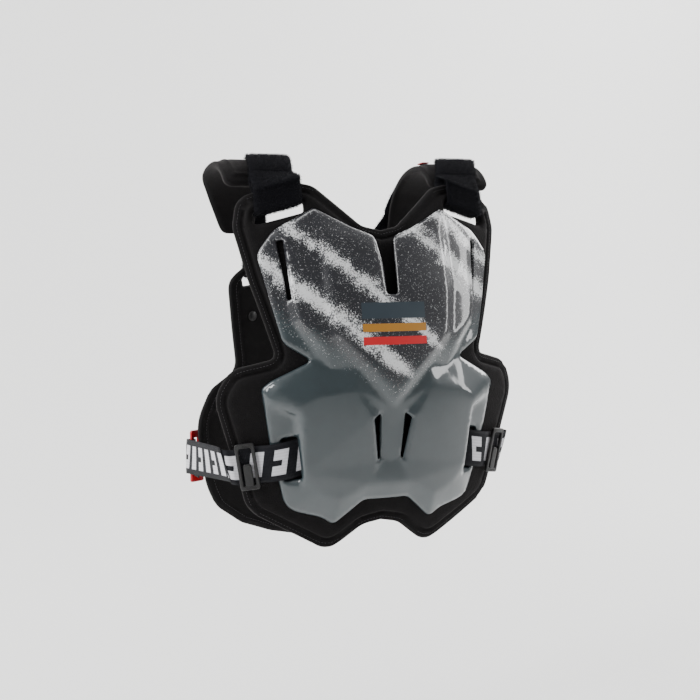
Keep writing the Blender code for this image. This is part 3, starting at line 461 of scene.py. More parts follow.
# Seam stitches of the pads
# Black polyester thread, sewn 3 mm to the stitch along the groove between the rim's two lines.
# Each stitch is a short round-ended bead that sinks into the knit at both ends.
thread, tree, shader = new_finish("waxed_polyester_thread", "#242126", 0.55)
place = add(tree, "ShaderNodeTexCoord")
twist = add(tree, "ShaderNodeTexNoise", {"Vector": place.outputs["Object"], "Scale": 2500.0})
strands = add(tree, "ShaderNodeBump", {"Height": twist.outputs["Fac"], "Strength": 0.4,
                                      "Distance": 0.0002})
tree.links.new(strands.outputs["Normal"], shader.inputs["Normal"])


def begin_tree(name, base, sizes):
    """A geometry node tree with a base and named sizes to set, and its input node."""
    tree = bpy.data.node_groups.new(name, "GeometryNodeTree")
    tree.interface.new_socket(base, in_out="INPUT", socket_type="NodeSocketGeometry")
    for label in sizes:
        tree.interface.new_socket(label, in_out="INPUT", socket_type="NodeSocketFloat")
    tree.interface.new_socket("Made", in_out="OUTPUT", socket_type="NodeSocketGeometry")
    return tree, add(tree, "NodeGroupInput")


def end_tree(tree, instances, finish):
    """The end of each tree: instances made real, with their material."""
    real = add(tree, "GeometryNodeRealizeInstances", {"Geometry": instances})
    done = add(tree, "GeometryNodeSetMaterial", {"Geometry": real.outputs["Geometry"],
                                                "Material": finish})
    add(tree, "NodeGroupOutput", {"Made": done.outputs["Geometry"]})


def stitch_tree(name, finish):
    """Geometry nodes that sew stitches along a line of edges."""
    tree, inputs = begin_tree(name, "Seam", ("Pitch", "Length", "Thickness"))
    line = add(tree, "GeometryNodeMeshToCurve", {"Mesh": inputs.outputs["Seam"]})
    spots = add(tree, "GeometryNodeCurveToPoints", {"Curve": line.outputs["Curve"],
                                                   "Length": inputs.outputs["Pitch"]},
                mode="LENGTH")
    bead = add(tree, "GeometryNodeMeshUVSphere", {"Segments": 6, "Rings": 5, "Radius": 0.5})
    size = add(tree, "ShaderNodeCombineXYZ", {"X": inputs.outputs["Thickness"],
                                             "Y": inputs.outputs["Thickness"],
                                             "Z": inputs.outputs["Length"]})
    sewn = add(tree, "GeometryNodeInstanceOnPoints", {
        "Points": spots.outputs["Points"], "Instance": bead.outputs["Mesh"],
        "Rotation": spots.outputs["Rotation"], "Scale": size.outputs["Vector"]})
    end_tree(tree, sewn.outputs["Instances"], finish)
    return tree


def grown(name, base, tree, values, finish):
    """A plain mesh piece from what a node tree grows on a base object."""
    grower = base.modifiers.new("grow", "NODES")
    grower.node_group = tree
    sockets = {s.name: s.identifier for s in tree.interface.items_tree
               if s.item_type == "SOCKET" and s.in_out == "INPUT"}
    for label, value in values.items():
        grower[sockets[label]] = value
    view = bpy.context.evaluated_depsgraph_get()
    mesh = bpy.data.meshes.new_from_object(base.evaluated_get(view))
    base.modifiers.remove(grower)
    bpy.data.objects.remove(base)
    if not mesh.materials:
        mesh.materials.append(finish)
    mesh.name = name
    mesh.shade_smooth()
    made = bpy.data.objects.new(name, mesh)
    bpy.context.scene.collection.objects.link(made)
    return made


def seam_lines(name, runs):
    """Loose edges along runs of points, to sew on."""
    points, edges = [], []
    for run, closed in runs:
        first = len(points)
        points.extend(tuple(p) for p in run)
        edges.extend((first + i, first + i + 1) for i in range(len(run) - 1))
        if closed:
            edges.append((first + len(run) - 1, first))
    mesh = bpy.data.meshes.new(name)
    mesh.from_pydata(points, edges, [])
    made = bpy.data.objects.new(name, mesh)
    bpy.context.scene.collection.objects.link(made)
    return made


def ring_at(loop, distance, loops):
    """The closed line at one distance inside a loop."""
    heading = np.roll(loop, -1, 0) - np.roll(loop, 1, 0)
    heading /= np.maximum(np.linalg.norm(heading, axis=1), 1e-9)[:, None]
    across = np.stack((-heading[:, 1], heading[:, 0]), 1)
    area = (loop[:, 0] * np.roll(loop[:, 1], -1) - np.roll(loop[:, 0], -1) * loop[:, 1]).sum()
    ring = loop + across * distance * (1 if area > 0 else -1)
    return ring[edge_gap(ring, loops) > 0.93 * distance]


sewing = stitch_tree("pad_stitches", thread)
front_seam = on_front(ring_at(front_loops[0], 0.0043, front_loops[:1]), -0.0035)
front_stitches = grown("front_pad_stitches", seam_lines("front_seam", [(front_seam, True)]),
                       sewing, {"Pitch": 0.0034, "Length": 0.0025, "Thickness": 0.0006}, thread)
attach(front_stitches, "root")

# Front plate
# Polypropylene moulded in one faceted shell with a 2.5 mm wall, printed and clear coated.  It
# stands on the foam with its rim, and has slots for air and a window on each side for the strap.
PLATE_SIZE = (0.128, -0.035, 0.317)
PLATE_WALL = 0.0025
PLATE_RISE = 0.014
PLATE_EDGE = [
    (0.000, 0.278, 0.000), (0.044, 0.278, 0.0055), (0.055, 0.160, 0.080), (0.080, 0.090, 0.010),
    (0.250, 0.064, 0.060), (0.556, 0.000, 0.005), (0.880, 0.072, 0.040), (1.012, 0.145, 0.018),
    (0.925, 0.305, 0.120), (0.850, 0.425, 0.016), (0.640, 0.478, 0.004), (0.940, 0.540, 0.030),
    (1.012, 0.565, 0.007), (0.935, 0.745, 0.200), (0.800, 0.955, 0.026), (0.520, 0.985, 0.030),
    (0.425, 1.012, 0.014), (0.190, 0.930, 0.014), (0.000, 0.930, 0.000),
]
# Named points of the relief: across and down the plate, and rise, all as shares
PLATE_POINTS = {
    "slot_foot": (0.000, 0.278, 0.82), "slot_side": (0.055, 0.180, 0.62),
    "slot_mouth": (0.080, 0.085, 0.10), "neck_mid": (0.300, 0.052, 0.05),
    "peak": (0.556, 0.000, 0.00), "shoulder": (0.880, 0.072, 0.00),
    "arm_top": (1.012, 0.145, 0.00), "arm_mid": (0.925, 0.305, 0.00),
    "arm_low": (0.850, 0.425, 0.00), "waist": (0.640, 0.478, 0.00),
    "hip_in": (0.940, 0.540, 0.00), "hip": (1.012, 0.565, 0.00),
    "flank": (0.935, 0.745, 0.00), "corner": (0.800, 0.955, 0.00),
    "lobe_out": (0.520, 0.985, 0.00), "lobe": (0.425, 1.012, 0.00),
    "hem": (0.190, 0.930, 0.15), "hem_mid": (0.000, 0.930, 0.20),
    "field_neck": (0.160, 0.120, 0.45), "field_top": (0.500, 0.075, 0.35),
    "field_side": (0.480, 0.260, 1.00), "field_low": (0.450, 0.395, 1.00),
    "field_cut": (0.240, 0.485, 1.00), "field_tip": (0.000, 0.595, 0.96),
    "field_mid": (0.000, 0.430, 1.06), "bevel_top": (0.555, 0.085, 0.22),
    "bevel_side": (0.545, 0.262, 0.66), "bevel_low": (0.510, 0.408, 0.66),
    "bevel_cut": (0.295, 0.505, 0.62), "bevel_tip": (0.000, 0.632, 0.56),
    "vent_top": (0.800, 0.100, 0.30), "vent_low": (0.755, 0.292, 0.60),
    "wing_low": (0.725, 0.355, 0.60), "wing_waist": (0.600, 0.420, 0.52),
    "vent_foot_top": (0.872, 0.100, 0.08), "vent_foot_low": (0.810, 0.296, 0.10),
    "wing_foot": (0.775, 0.365, 0.10), "waist_top": (0.655, 0.432, 0.08),
    "waist_in": (0.490, 0.508, 0.26), "bulge_in": (0.330, 0.560, 0.78),
    "bulge_top": (0.600, 0.578, 0.80), "bulge_side": (0.725, 0.606, 0.80),
    "bulge_hip": (0.900, 0.562, 0.40), "lip": (0.945, 0.606, 0.32),
    "lip_foot": (0.950, 0.632, 0.10), "step_top": (0.722, 0.640, 0.80),
    "step_foot": (0.775, 0.650, 0.10), "step_low": (0.675, 0.826, 0.80),
    "step_low_foot": (0.725, 0.828, 0.10), "flank_low": (0.810, 0.872, 0.10),
    "bulge_low": (0.690, 0.876, 0.45), "hem_out": (0.575, 0.890, 0.62),
    "hem_lobe": (0.405, 0.918, 0.62), "hem_in": (0.190, 0.872, 0.66),
    "hem_mid_top": (0.000, 0.872, 0.62), "cut_top": (0.165, 0.652, 0.76),
    "cut_low": (0.112, 0.800, 0.56), "spine_top": (0.098, 0.650, 0.50),
    "spine_low": (0.080, 0.800, 0.46), "spine_mid": (0.000, 0.700, 0.46),
    "spine_foot": (0.000, 0.800, 0.44),
}
PLATE_CREASES = [
    ("field_neck", "field_top", "field_side", "field_low", "field_cut", "field_tip"),
    ("field_top", "bevel_top", "bevel_side", "bevel_low", "bevel_cut", "bevel_tip"),
    ("field_side", "bevel_side"),
    ("field_low", "bevel_low"),
    ("field_cut", "bevel_cut"),
    ("bevel_top", "vent_top", "vent_low", "wing_low", "wing_waist", "waist_in"),
    ("vent_top", "vent_foot_top", "vent_foot_low", "wing_foot", "waist_top", "waist_in"),
    ("bevel_low", "wing_waist"),
    ("waist", "waist_in", "bevel_cut"),
    ("bevel_cut", "bulge_in", "bulge_top", "bulge_side", "bulge_hip", "hip"),
    ("bulge_side", "step_top", "step_low", "bulge_low", "hem_out"),
    ("bulge_hip", "lip", "lip_foot", "step_foot", "step_low_foot", "flank_low"),
    ("step_top", "step_foot"),
    ("lip", "step_top"),
    ("hem_out", "hem_lobe", "hem_in", "hem_mid_top"),
    ("bulge_in", "cut_top", "cut_low", "hem_in"),
    ("bevel_tip", "spine_top", "spine_low", "spine_foot"),
]


def relief_of(points, creases, size, rise, flat):
    """Heights of a faceted relief at flat points, the same on both sides."""
    names = list(points)
    spots = [(points[n][0] * size[0], size[1] - points[n][1] * size[2]) for n in names]
    lifts = np.array([points[n][2] * rise for n in names])
    edges = [(names.index(a), names.index(b)) for run in creases for a, b in zip(run, run[1:])]
    found, _, faces, sources, _, _ = delaunay_2d_cdt(
        [Vector(s) for s in spots], edges, [], 0, 1e-6)
    corner = np.array([tuple(p) for p in found])
    lift = np.array([lifts[s[0]] if s else 0.0 for s in sources])
    x = np.abs(flat[:, 0])
    z = flat[:, 1]
    best = np.full(len(flat), -9.0)
    height = np.zeros(len(flat))
    for f in faces:
        a, b, c = corner[list(f)]
        area = (b[0] - a[0]) * (c[1] - a[1]) - (b[1] - a[1]) * (c[0] - a[0])
        if abs(area) < 1e-12:
            continue
        u = ((b[0] - x) * (c[1] - z) - (b[1] - z) * (c[0] - x)) / area
        v = ((c[0] - x) * (a[1] - z) - (c[1] - z) * (a[0] - x)) / area
        inner = np.minimum(np.minimum(u, v), 1 - u - v)
        here = inner > best
        value = u * lift[f[0]] + v * lift[f[1]] + (1 - u - v) * lift[f[2]]
        height[here] = value[here]
        best[here] = inner[here]
    return height.clip(0, None)


def crease_lines(points, creases, size):
    """The creases as lines in metres, on both sides."""
    lines = []
    for run in creases:
        half = [(points[n][0] * size[0], size[1] - points[n][1] * size[2]) for n in run]
        lines.extend((half, [(-x, z) for x, z in half]))
    return lines


def softened(height, faces, passes):
    """Heights averaged with their neighbours, as a mould's rounded creases."""
    pairs = np.concatenate((faces[:, :2], faces[:, 1:], faces[:, ::2]))
    both = np.concatenate((pairs, pairs[:, ::-1]))
    count = np.bincount(both[:, 0], minlength=len(height))
    for _ in range(passes):
        around = np.bincount(both[:, 0], weights=height[both[:, 1]], minlength=len(height))
        height = 0.5 * height + 0.5 * around / count
    return height


def moulded_rim(gap, radius):
    """How a plate's outer face rounds down at its edge."""
    near = np.maximum(radius - gap, 0)
    return -(radius - np.sqrt(radius ** 2 - near ** 2))


VENT = [(0.812, 0.104, 0.0015), (0.860, 0.106, 0.0020), (0.800, 0.292, 0.0010),
        (0.776, 0.288, 0.0010)]
LOW_VENT = [(0.108, 0.648, 0.0010), (0.158, 0.662, 0.0020), (0.140, 0.705, 0.0030),
            (0.106, 0.796, 0.0006), (0.090, 0.790, 0.0006), (0.104, 0.690, 0.0020)]
STRAP_WINDOW = [(0.0945, -0.2615, 0.003), (0.1095, -0.2645, 0.003), (0.1045, -0.3075, 0.003),
                (0.0885, -0.3045, 0.003)]
plate_loops = [panel_outline(PLATE_EDGE, PLATE_SIZE)]
for rows in (VENT, LOW_VENT):
    plate_loops.extend(both_sides(rounded_path(panel_corners(rows, PLATE_SIZE), True, 0.0012)))
plate_loops.extend(both_sides(rounded_path(STRAP_WINDOW, True, 0.0015)))
plate_lines = crease_lines(PLATE_POINTS, PLATE_CREASES, PLATE_SIZE)
flat, faces = flat_net(plate_loops, (0.0005, 0.0011, 0.0018, 0.0027), 0.0034, plate_lines)
height = relief_of(PLATE_POINTS, PLATE_CREASES, PLATE_SIZE, PLATE_RISE, flat)
height = softened(height, faces, 1) + 0.0005
gap = edge_gap(flat, plate_loops)
outer = on_front(flat, height + PLATE_WALL + moulded_rim(gap, 0.0018))
inner = on_front(flat, height)

# Printed polypropylene under a thick clear coat.  The print has a charcoal field on the chest,
# brushed over with dry white strokes that break up at their edges, and grey-green below.
# The strokes here are plain slanting bands.  A mirror-like coat lies over all of it.
plate_finish, tree, shader = new_finish("clear_coated_polypropylene", "#222c30", 0.42)
shader.inputs["IOR"].default_value = 1.49
shader.inputs["Coat Weight"].default_value = 1.0
shader.inputs["Coat Roughness"].default_value = 0.06
shader.inputs["Coat IOR"].default_value = 1.5
place = add(tree, "ShaderNodeTexCoord")
axes = add(tree, "ShaderNodeSeparateXYZ", {"Vector": place.outputs["Object"]})


def sum_of(first, second, kind="ADD", third=0.0):
    """A math node's result in the tree that is being built."""
    return add(tree, "ShaderNodeMath", {0: first, 1: second, 2: third}, operation=kind).outputs[0]


def step_over(value, low, high):
    """0 below low and 1 above high, smoothly."""
    made = add(tree, "ShaderNodeMapRange", {"Value": value, "From Min": low, "From Max": high},
               interpolation_type="SMOOTHSTEP", clamp=True)
    return made.outputs["Result"]


coarse = add(tree, "ShaderNodeTexNoise", {"Vector": place.outputs["Object"], "Scale": 60.0,
                                         "Detail": 4.0, "Roughness": 0.65})
# Bristle marks: grains about 1 mm across, round rather than drawn out along the stroke
grain = add(tree, "ShaderNodeTexNoise", {"Vector": place.outputs["Object"], "Scale": 650.0,
                                        "Detail": 3.0, "Roughness": 0.7})
away = sum_of(axes.outputs["X"], 0.0, "ABSOLUTE")
edge_line = sum_of(sum_of(away, 0.62, "MULTIPLY"), -0.212)
above = sum_of(axes.outputs["Z"], edge_line, "SUBTRACT")
wander = sum_of(sum_of(coarse.outputs["Fac"], 0.5, "SUBTRACT"), 0.03, "MULTIPLY")
speckle = sum_of(sum_of(grain.outputs["Fac"], 0.5, "SUBTRACT"), 0.09, "MULTIPLY")
field = step_over(sum_of(sum_of(above, wander), speckle), -0.001, 0.003)
tint = add(tree, "ShaderNodeMix", {0: coarse.outputs["Fac"], 6: colour("#222c30"),
                                  7: colour("#2a363a")}, data_type="RGBA")
charcoal = add(tree, "ShaderNodeMix", {0: coarse.outputs["Fac"], 6: colour("#111217"),
                                      7: colour("#1c1d24")}, data_type="RGBA")
ground = add(tree, "ShaderNodeMix", {0: field, 6: tint.outputs[2], 7: charcoal.outputs[2]},
             data_type="RGBA")
# Five bands that all slant one way, each with its own place, slope and half width in metres
strokes = None
for at_x, at_z, slope, half in ((-0.100, -0.110, -0.80, 0.0080), (-0.060, -0.085, -0.80, 0.0045),
                                (-0.115, -0.175, -0.80, 0.0050), (0.050, -0.070, -0.80, 0.0085),
                                (0.095, -0.065, -0.80, 0.0050)):
    level = sum_of(sum_of(axes.outputs["X"], at_x, "SUBTRACT"), slope, "MULTIPLY")
    off = sum_of(sum_of(axes.outputs["Z"], at_z, "SUBTRACT"), level, "SUBTRACT")
    off = sum_of(sum_of(off, 1.0 / math.hypot(1.0, slope), "MULTIPLY"), 0.0, "ABSOLUTE")
    off = sum_of(sum_of(off, wander), sum_of(speckle, 0.55, "MULTIPLY"))
    here = sum_of(1.0, step_over(off, half * 0.45, half), "SUBTRACT")
    strokes = here if strokes is None else sum_of(strokes, here, "MAXIMUM")
scuffs = sum_of(step_over(grain.outputs["Fac"], 0.60, 0.68), 0.62, "MULTIPLY")
white = sum_of(sum_of(strokes, scuffs, "MAXIMUM"), field, "MULTIPLY")
printed = add(tree, "ShaderNodeMix", {0: white, 6: ground.outputs[2], 7: colour("#d6d7d8")},
              data_type="RGBA")


def printed_bar(colour_in, left, right, low, high, code):
    """A plain printed rectangle over what lies below it."""
    across = sum_of(step_over(axes.outputs["X"], left - 0.0002, left + 0.0002),
                    step_over(axes.outputs["X"], right - 0.0002, right + 0.0002), "SUBTRACT")
    up = sum_of(step_over(axes.outputs["Z"], low - 0.0002, low + 0.0002),
                step_over(axes.outputs["Z"], high - 0.0002, high + 0.0002), "SUBTRACT")
    return add(tree, "ShaderNodeMix", {0: sum_of(across, up, "MULTIPLY"), 6: colour_in,
                                      7: colour(code)}, data_type="RGBA").outputs[2]


bars = printed_bar(printed.outputs[2], -0.036, 0.034, -0.145, -0.129, "#24313a")
bars = printed_bar(bars, -0.036, 0.034, -0.158, -0.150, "#a5711f")
bars = printed_bar(bars, -0.036, 0.034, -0.171, -0.163, "#c00f18")
tree.links.new(bars, shader.inputs["Base Color"])
# Orange peel: the coat's slow waves, about 6 mm across
peel = add(tree, "ShaderNodeTexNoise", {"Vector": place.outputs["Object"], "Scale": 160.0,
                                       "Detail": 1.0})
waves = add(tree, "ShaderNodeBump", {"Height": peel.outputs["Fac"], "Strength": 0.05,
                                    "Distance": 0.0006})
tree.links.new(waves.outputs["Normal"], shader.inputs["Coat Normal"])
tree.links.new(waves.outputs["Normal"], shader.inputs["Normal"])
front_plate = two_faced("front_plate", faces, outer, inner, plate_finish)
front_plate.data.set_sharp_from_angle(angle=math.radians(50))
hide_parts("front_shell")
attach(front_plate, "root")

# Back foam pad
# The same foam and knit behind, with a slot in each of its two tabs for the rear straps and a
# slanting slot at each side.
BACK_SIZE = (0.151, -0.086, 0.322)
BACK_LINE = smooth_run([(-0.10, 0.90), (0.00, 0.93), (0.35, 1.00), (0.70, 1.00), (1.00, 0.90)], 12)
BACK_PAD_EDGE = [
    (0.000, 0.115, 0.000), (0.130, 0.110, 0.030), (0.270, 0.000, 0.018), (0.560, 0.020, 0.020),
    (0.735, 0.076, 0.022), (0.690, 0.240, 0.200), (0.645, 0.385, 0.018), (0.880, 0.446, 0.030),
    (1.010, 0.556, 0.050), (0.930, 0.775, 0.080), (0.850, 0.850, 0.030), (0.630, 0.920, 0.040),
    (0.380, 0.962, 0.060), (0.000, 1.000, 0.000),
]
BACK_SIDE_SLOT = [(0.735, 0.500, 0.0015), (0.835, 0.508, 0.0015), (0.855, 0.526, 0.0015),
                  (0.760, 0.522, 0.0015)]


def back_depth(x, z):
    """Where the back pad's outer face lies, for arrays of x and z."""
    down = (BACK_SIZE[1] - z) / BACK_SIZE[2]
    reach = 0.117 * np.interp(down, BACK_LINE[:, 0], BACK_LINE[:, 1])
    return reach - 0.300 * (1 - np.sqrt(np.maximum(1 - (x / 0.300) ** 2, 0.05)))


def on_back(flat, lift):
    """Points on the back pad's face."""
    return laid_on(back_depth, 1, np.asarray(flat, float), lift)


def back_tab_edge(x):
    """The top edge of the back pad's tab."""
    return -0.0860 - 0.1470 * (x - 0.0408)


back_slots = both_sides(slot_hole(0.070, back_tab_edge, 0.0115, 0.047))
side_slots = both_sides(rounded_path(panel_corners(BACK_SIDE_SLOT, BACK_SIZE), True, 0.0015))
back_loops = [panel_outline(BACK_PAD_EDGE, BACK_SIZE), *back_slots, *side_slots]
flat, faces = flat_net(back_loops, RIM_RINGS, 0.0050)
rim_gap = edge_gap(flat, back_loops[:1])
hole_gap = edge_gap(flat, back_loops[1:])
height = pressed_foam(rim_gap)
under = -FOAM + 0.0022 * (1 - ease(np.minimum(rim_gap, hole_gap), 0.0, 0.0030))
under = under + 0.0011 * bump_at(rim_gap, 0.0100, 0.0012)
back_pad = two_faced("back_foam_pad", faces, on_back(flat, height), on_back(flat, under), knit)
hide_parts("back_pad")
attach(back_pad, "root")
inner_seam = on_back(ring_at(back_loops[0], 0.0060, back_loops[:1]), -FOAM - 0.0002)
outer_seam = on_back(ring_at(back_loops[0], 0.0043, back_loops[:1]), -0.0035)
back_stitches = grown("back_pad_stitches",
                      seam_lines("back_seam", [(inner_seam, True), (outer_seam, True)]),
                      sewing, {"Pitch": 0.0034, "Length": 0.0025, "Thickness": 0.0006}, thread)
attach(back_stitches, "root")

# Back plate
# The same kind of moulding in plain light grey, with a raised spine and two shoulder blades.
BACK_PLATE_SIZE = (0.144, -0.086, 0.308)
BACK_PLATE_RISE = 0.012
BACK_PLATE_EDGE = [
    (0.000, 0.160, 0.000), (0.250, 0.160, 0.020), (0.480, 0.112, 0.014), (0.640, 0.160, 0.014),
    (0.600, 0.395, 0.016), (0.880, 0.470, 0.024), (1.005, 0.570, 0.040), (0.915, 0.785, 0.080),
    (0.835, 0.860, 0.024), (0.620, 0.930, 0.030), (0.380, 0.970, 0.060), (0.000, 1.000, 0.000),
]
BACK_POINTS = {
    "neck": (0.000, 0.160, 0.00), "tab_in": (0.250, 0.160, 0.00), "tab_top": (0.480, 0.112, 0.00),
    "tab_out": (0.640, 0.160, 0.00), "arm": (0.600, 0.395, 0.00), "hip_in": (0.880, 0.470, 0.00),
    "hip": (1.005, 0.570, 0.00), "flank": (0.915, 0.785, 0.00), "corner": (0.835, 0.860, 0.00),
    "hem_side": (0.620, 0.930, 0.00), "hem_out": (0.380, 0.970, 0.00), "hem": (0.000, 1.000, 0.00),
    "blade_top": (0.200, 0.220, 0.80), "blade_out": (0.500, 0.235, 0.75),
    "blade_low": (0.450, 0.440, 0.85), "rib_in": (0.700, 0.545, 0.70),
    "rib_out": (0.810, 0.605, 0.62), "rib_low": (0.740, 0.790, 0.62),
    "hem_rib": (0.380, 0.890, 0.80), "spine_top": (0.000, 0.240, 0.85),
    "spine_mid": (0.000, 0.570, 1.00), "spine_low": (0.000, 0.900, 0.80),
    "groove_top": (0.130, 0.310, 0.60), "groove_low": (0.130, 0.840, 0.60),
}
BACK_CREASES = [
    ("blade_top", "blade_out", "blade_low", "rib_in", "rib_out", "rib_low", "hem_rib"),
    ("hem_rib", "spine_low"),
    ("blade_top", "spine_top", "spine_mid", "spine_low"),
    ("groove_top", "groove_low"),
]
back_plate_loops = [panel_outline(BACK_PLATE_EDGE, BACK_PLATE_SIZE), *side_slots]
back_lines = crease_lines(BACK_POINTS, BACK_CREASES, BACK_PLATE_SIZE)
flat, faces = flat_net(back_plate_loops, (0.0005, 0.0011, 0.0018, 0.0027), 0.0042, back_lines)
height = relief_of(BACK_POINTS, BACK_CREASES, BACK_PLATE_SIZE, BACK_PLATE_RISE, flat)
height = softened(height, faces, 2) + 0.0005
gap = edge_gap(flat, back_plate_loops)
# Polypropylene from a satin mould: a fine even texture and soft highlights
back_finish, tree, shader = new_finish("satin_grey_polypropylene", "#6c7276", 0.38)
shader.inputs["IOR"].default_value = 1.49
shader.inputs["Coat Weight"].default_value = 0.4
shader.inputs["Coat Roughness"].default_value = 0.12
place = add(tree, "ShaderNodeTexCoord")
spark = add(tree, "ShaderNodeTexNoise", {"Vector": place.outputs["Object"], "Scale": 900.0,
                                        "Detail": 2.0})
cloud = add(tree, "ShaderNodeTexNoise", {"Vector": place.outputs["Object"], "Scale": 14.0,
                                        "Detail": 3.0})
grey = add(tree, "ShaderNodeMix", {0: cloud.outputs["Fac"], 6: colour("#666c70"),
                                  7: colour("#747a7e")}, data_type="RGBA")
tree.links.new(grey.outputs[2], shader.inputs["Base Color"])
texture = add(tree, "ShaderNodeBump", {"Height": spark.outputs["Fac"], "Strength": 0.12,
                                      "Distance": 0.0003})
tree.links.new(texture.outputs["Normal"], shader.inputs["Normal"])
back_plate = two_faced("back_plate", faces,
                       on_back(flat, height + PLATE_WALL + moulded_rim(gap, 0.0018)),
                       on_back(flat, height), back_finish)
back_plate.data.set_sharp_from_angle(angle=math.radians(50))
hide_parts("back_shell")
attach(back_plate, "root")

# Rivets of the back plate
# Black nylon rivets with domed heads, pressed through the plate and the foam from inside.
nylon, tree, shader = new_finish("moulded_black_nylon", "#040405", 0.48)
shader.inputs["IOR"].default_value = 1.53
place = add(tree, "ShaderNodeTexCoord")
grit = add(tree, "ShaderNodeTexNoise", {"Vector": place.outputs["Object"], "Scale": 1400.0,
                                       "Detail": 2.0})
skin = add(tree, "ShaderNodeBump", {"Height": grit.outputs["Fac"], "Strength": 0.15,
                                   "Distance": 0.0002})
tree.links.new(skin.outputs["Normal"], shader.inputs["Normal"])
RIVET_HEAD = (0.0055, 0.0022)
rivet_spots, rivet_ways = [], []
for across, down in ((0.535, 0.200), (0.450, 0.750)):
    for side in (-1, 1):
        spot = [[side * across * BACK_SIZE[0], BACK_SIZE[1] - down * BACK_SIZE[2]]]
        inner = on_back(spot, -FOAM - 0.0010)[0]
        rivet_spots.append(tuple(inner))
        rivet_ways.extend(inner - on_back(spot, 0.0)[0])
rivet_mesh = bpy.data.meshes.new("rivet_places")
rivet_mesh.from_pydata(rivet_spots, [], [])
facing = rivet_mesh.attributes.new("facing", "FLOAT_VECTOR", "POINT")
facing.data.foreach_set("vector", rivet_ways)
rivet_base = bpy.data.objects.new("rivet_places", rivet_mesh)
bpy.context.scene.collection.objects.link(rivet_base)
riveting, inputs = begin_tree("rivets", "Places", ("Radius", "Rise"))
way = add(riveting, "GeometryNodeInputNamedAttribute", {"Name": "facing"},
          data_type="FLOAT_VECTOR")
turned = add(riveting, "FunctionNodeAlignRotationToVector", {"Vector": way.outputs["Attribute"]},
             axis="Z")
dome = add(riveting, "GeometryNodeMeshUVSphere", {"Segments": 32, "Rings": 16, "Radius": 1.0})
sizes = add(riveting, "ShaderNodeCombineXYZ", {"X": inputs.outputs["Radius"],
                                              "Y": inputs.outputs["Radius"],
                                              "Z": inputs.outputs["Rise"]})
placed = add(riveting, "GeometryNodeInstanceOnPoints", {
    "Points": inputs.outputs["Places"], "Instance": dome.outputs["Mesh"],
    "Rotation": turned.outputs["Rotation"], "Scale": sizes.outputs["Vector"]})
end_tree(riveting, placed.outputs["Instances"], nylon)
rivets = grown("back_rivets", rivet_base, riveting,
               {"Radius": RIVET_HEAD[0], "Rise": RIVET_HEAD[1]}, nylon)
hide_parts("back_rivet_upper_left", "back_rivet_upper_right", "back_rivet_lower_left",
            "back_rivet_lower_right")
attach(rivets, "root")

# Shoulder pads
# Foam in the same knit, arched over each shoulder.  The press leaves two raised lines along the
# edge and a channel further in, and the narrow rear end goes down behind the shoulder.
SHOULDER_DEPTH = 0.126
SHOULDER_ARCH = 0.087
SHOULDER_RUN = [
    (-0.285, -0.100), (-0.235, -0.005), (-0.160, 0.090), (-0.035, 0.172), (0.140, 0.172),
    (0.330, 0.092), (0.490, -0.070), (0.600, -0.300), (0.655, -0.570), (0.662, -0.690),
]
SHOULDER_LINE = smooth_run([(y * SHOULDER_DEPTH, z * SHOULDER_ARCH) for y, z in SHOULDER_RUN], 12)
SHOULDER_STEPS = np.linalg.norm(np.diff(SHOULDER_LINE, axis=0), axis=1)
SHOULDER_ALONG = np.concatenate(([0.0], np.cumsum(SHOULDER_STEPS)))
SHOULDER_LENGTH = SHOULDER_ALONG[-1]


def on_shoulder(flat, lift):
    """Points (x, run) laid on the shoulder arch, lifted outwards by metres."""
    flat = np.asarray(flat, float)
    run = flat[:, 1]
    lines = [np.interp(run + step, SHOULDER_ALONG, SHOULDER_LINE[:, k])
             for step in (0.0, -0.003, 0.003) for k in (0, 1)]
    heading = np.stack((lines[4] - lines[2], lines[5] - lines[3]), 1)
    heading /= np.linalg.norm(heading, axis=1)[:, None]
    lift = np.broadcast_to(lift, run.shape)
    return np.stack((flat[:, 0], lines[0] - heading[:, 1] * lift, lines[1] + heading[:, 0] * lift),
                    1)


shoulder_corners = [
    (0.080, 0.0, 0.012), (0.151, 0.0, 0.010), (0.151, 0.56 * SHOULDER_LENGTH, 0.060),
    (0.117, SHOULDER_LENGTH, 0.010), (0.0815, SHOULDER_LENGTH, 0.010),
]
shoulder_loop = rounded_path(shoulder_corners, True)
flat, faces = flat_net([shoulder_loop], (0.0007, 0.0016, 0.0026, 0.0036, 0.0046, 0.0056, 0.0068,
                                         0.0082, 0.0098, 0.0114, 0.0128, 0.0140, 0.0152, 0.0170),
                       0.0036)
gap = edge_gap(flat, [shoulder_loop])
height = -0.0030 * (1 - ease(gap, 0.0070, 0.0112)) - 0.0022 * (1 - ease(gap, 0.0, 0.0016))
height += 0.0011 * (bump_at(gap, 0.0024, 0.0010) + bump_at(gap, 0.0060, 0.0010))
height -= 0.0012 * bump_at(gap, 0.0140, 0.0012)
under = -FOAM + 0.0020 * (1 - ease(gap, 0.0, 0.0034)) + 0.0007 * bump_at(gap, 0.0022, 0.0008)
for side, side_name in ((-1, "right"), (1, "left")):
    turned_over = np.array((side, 1.0, 1.0))
    pad = two_faced(f"shoulder_foam_{side_name}", faces, on_shoulder(flat, height) * turned_over,
                    on_shoulder(flat, under) * turned_over, knit)
    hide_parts(f"shoulder_pad_{side_name}")
    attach(pad, "root")
    hem = ring_at(shoulder_loop, 0.0042, [shoulder_loop])
    seam = on_shoulder(hem, -0.0034) * turned_over
    sewn = grown(f"shoulder_stitches_{side_name}", seam_lines("shoulder_seam", [(seam, True)]),
                 sewing, {"Pitch": 0.0034, "Length": 0.0025, "Thickness": 0.0006}, thread)
    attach(sewn, "root")

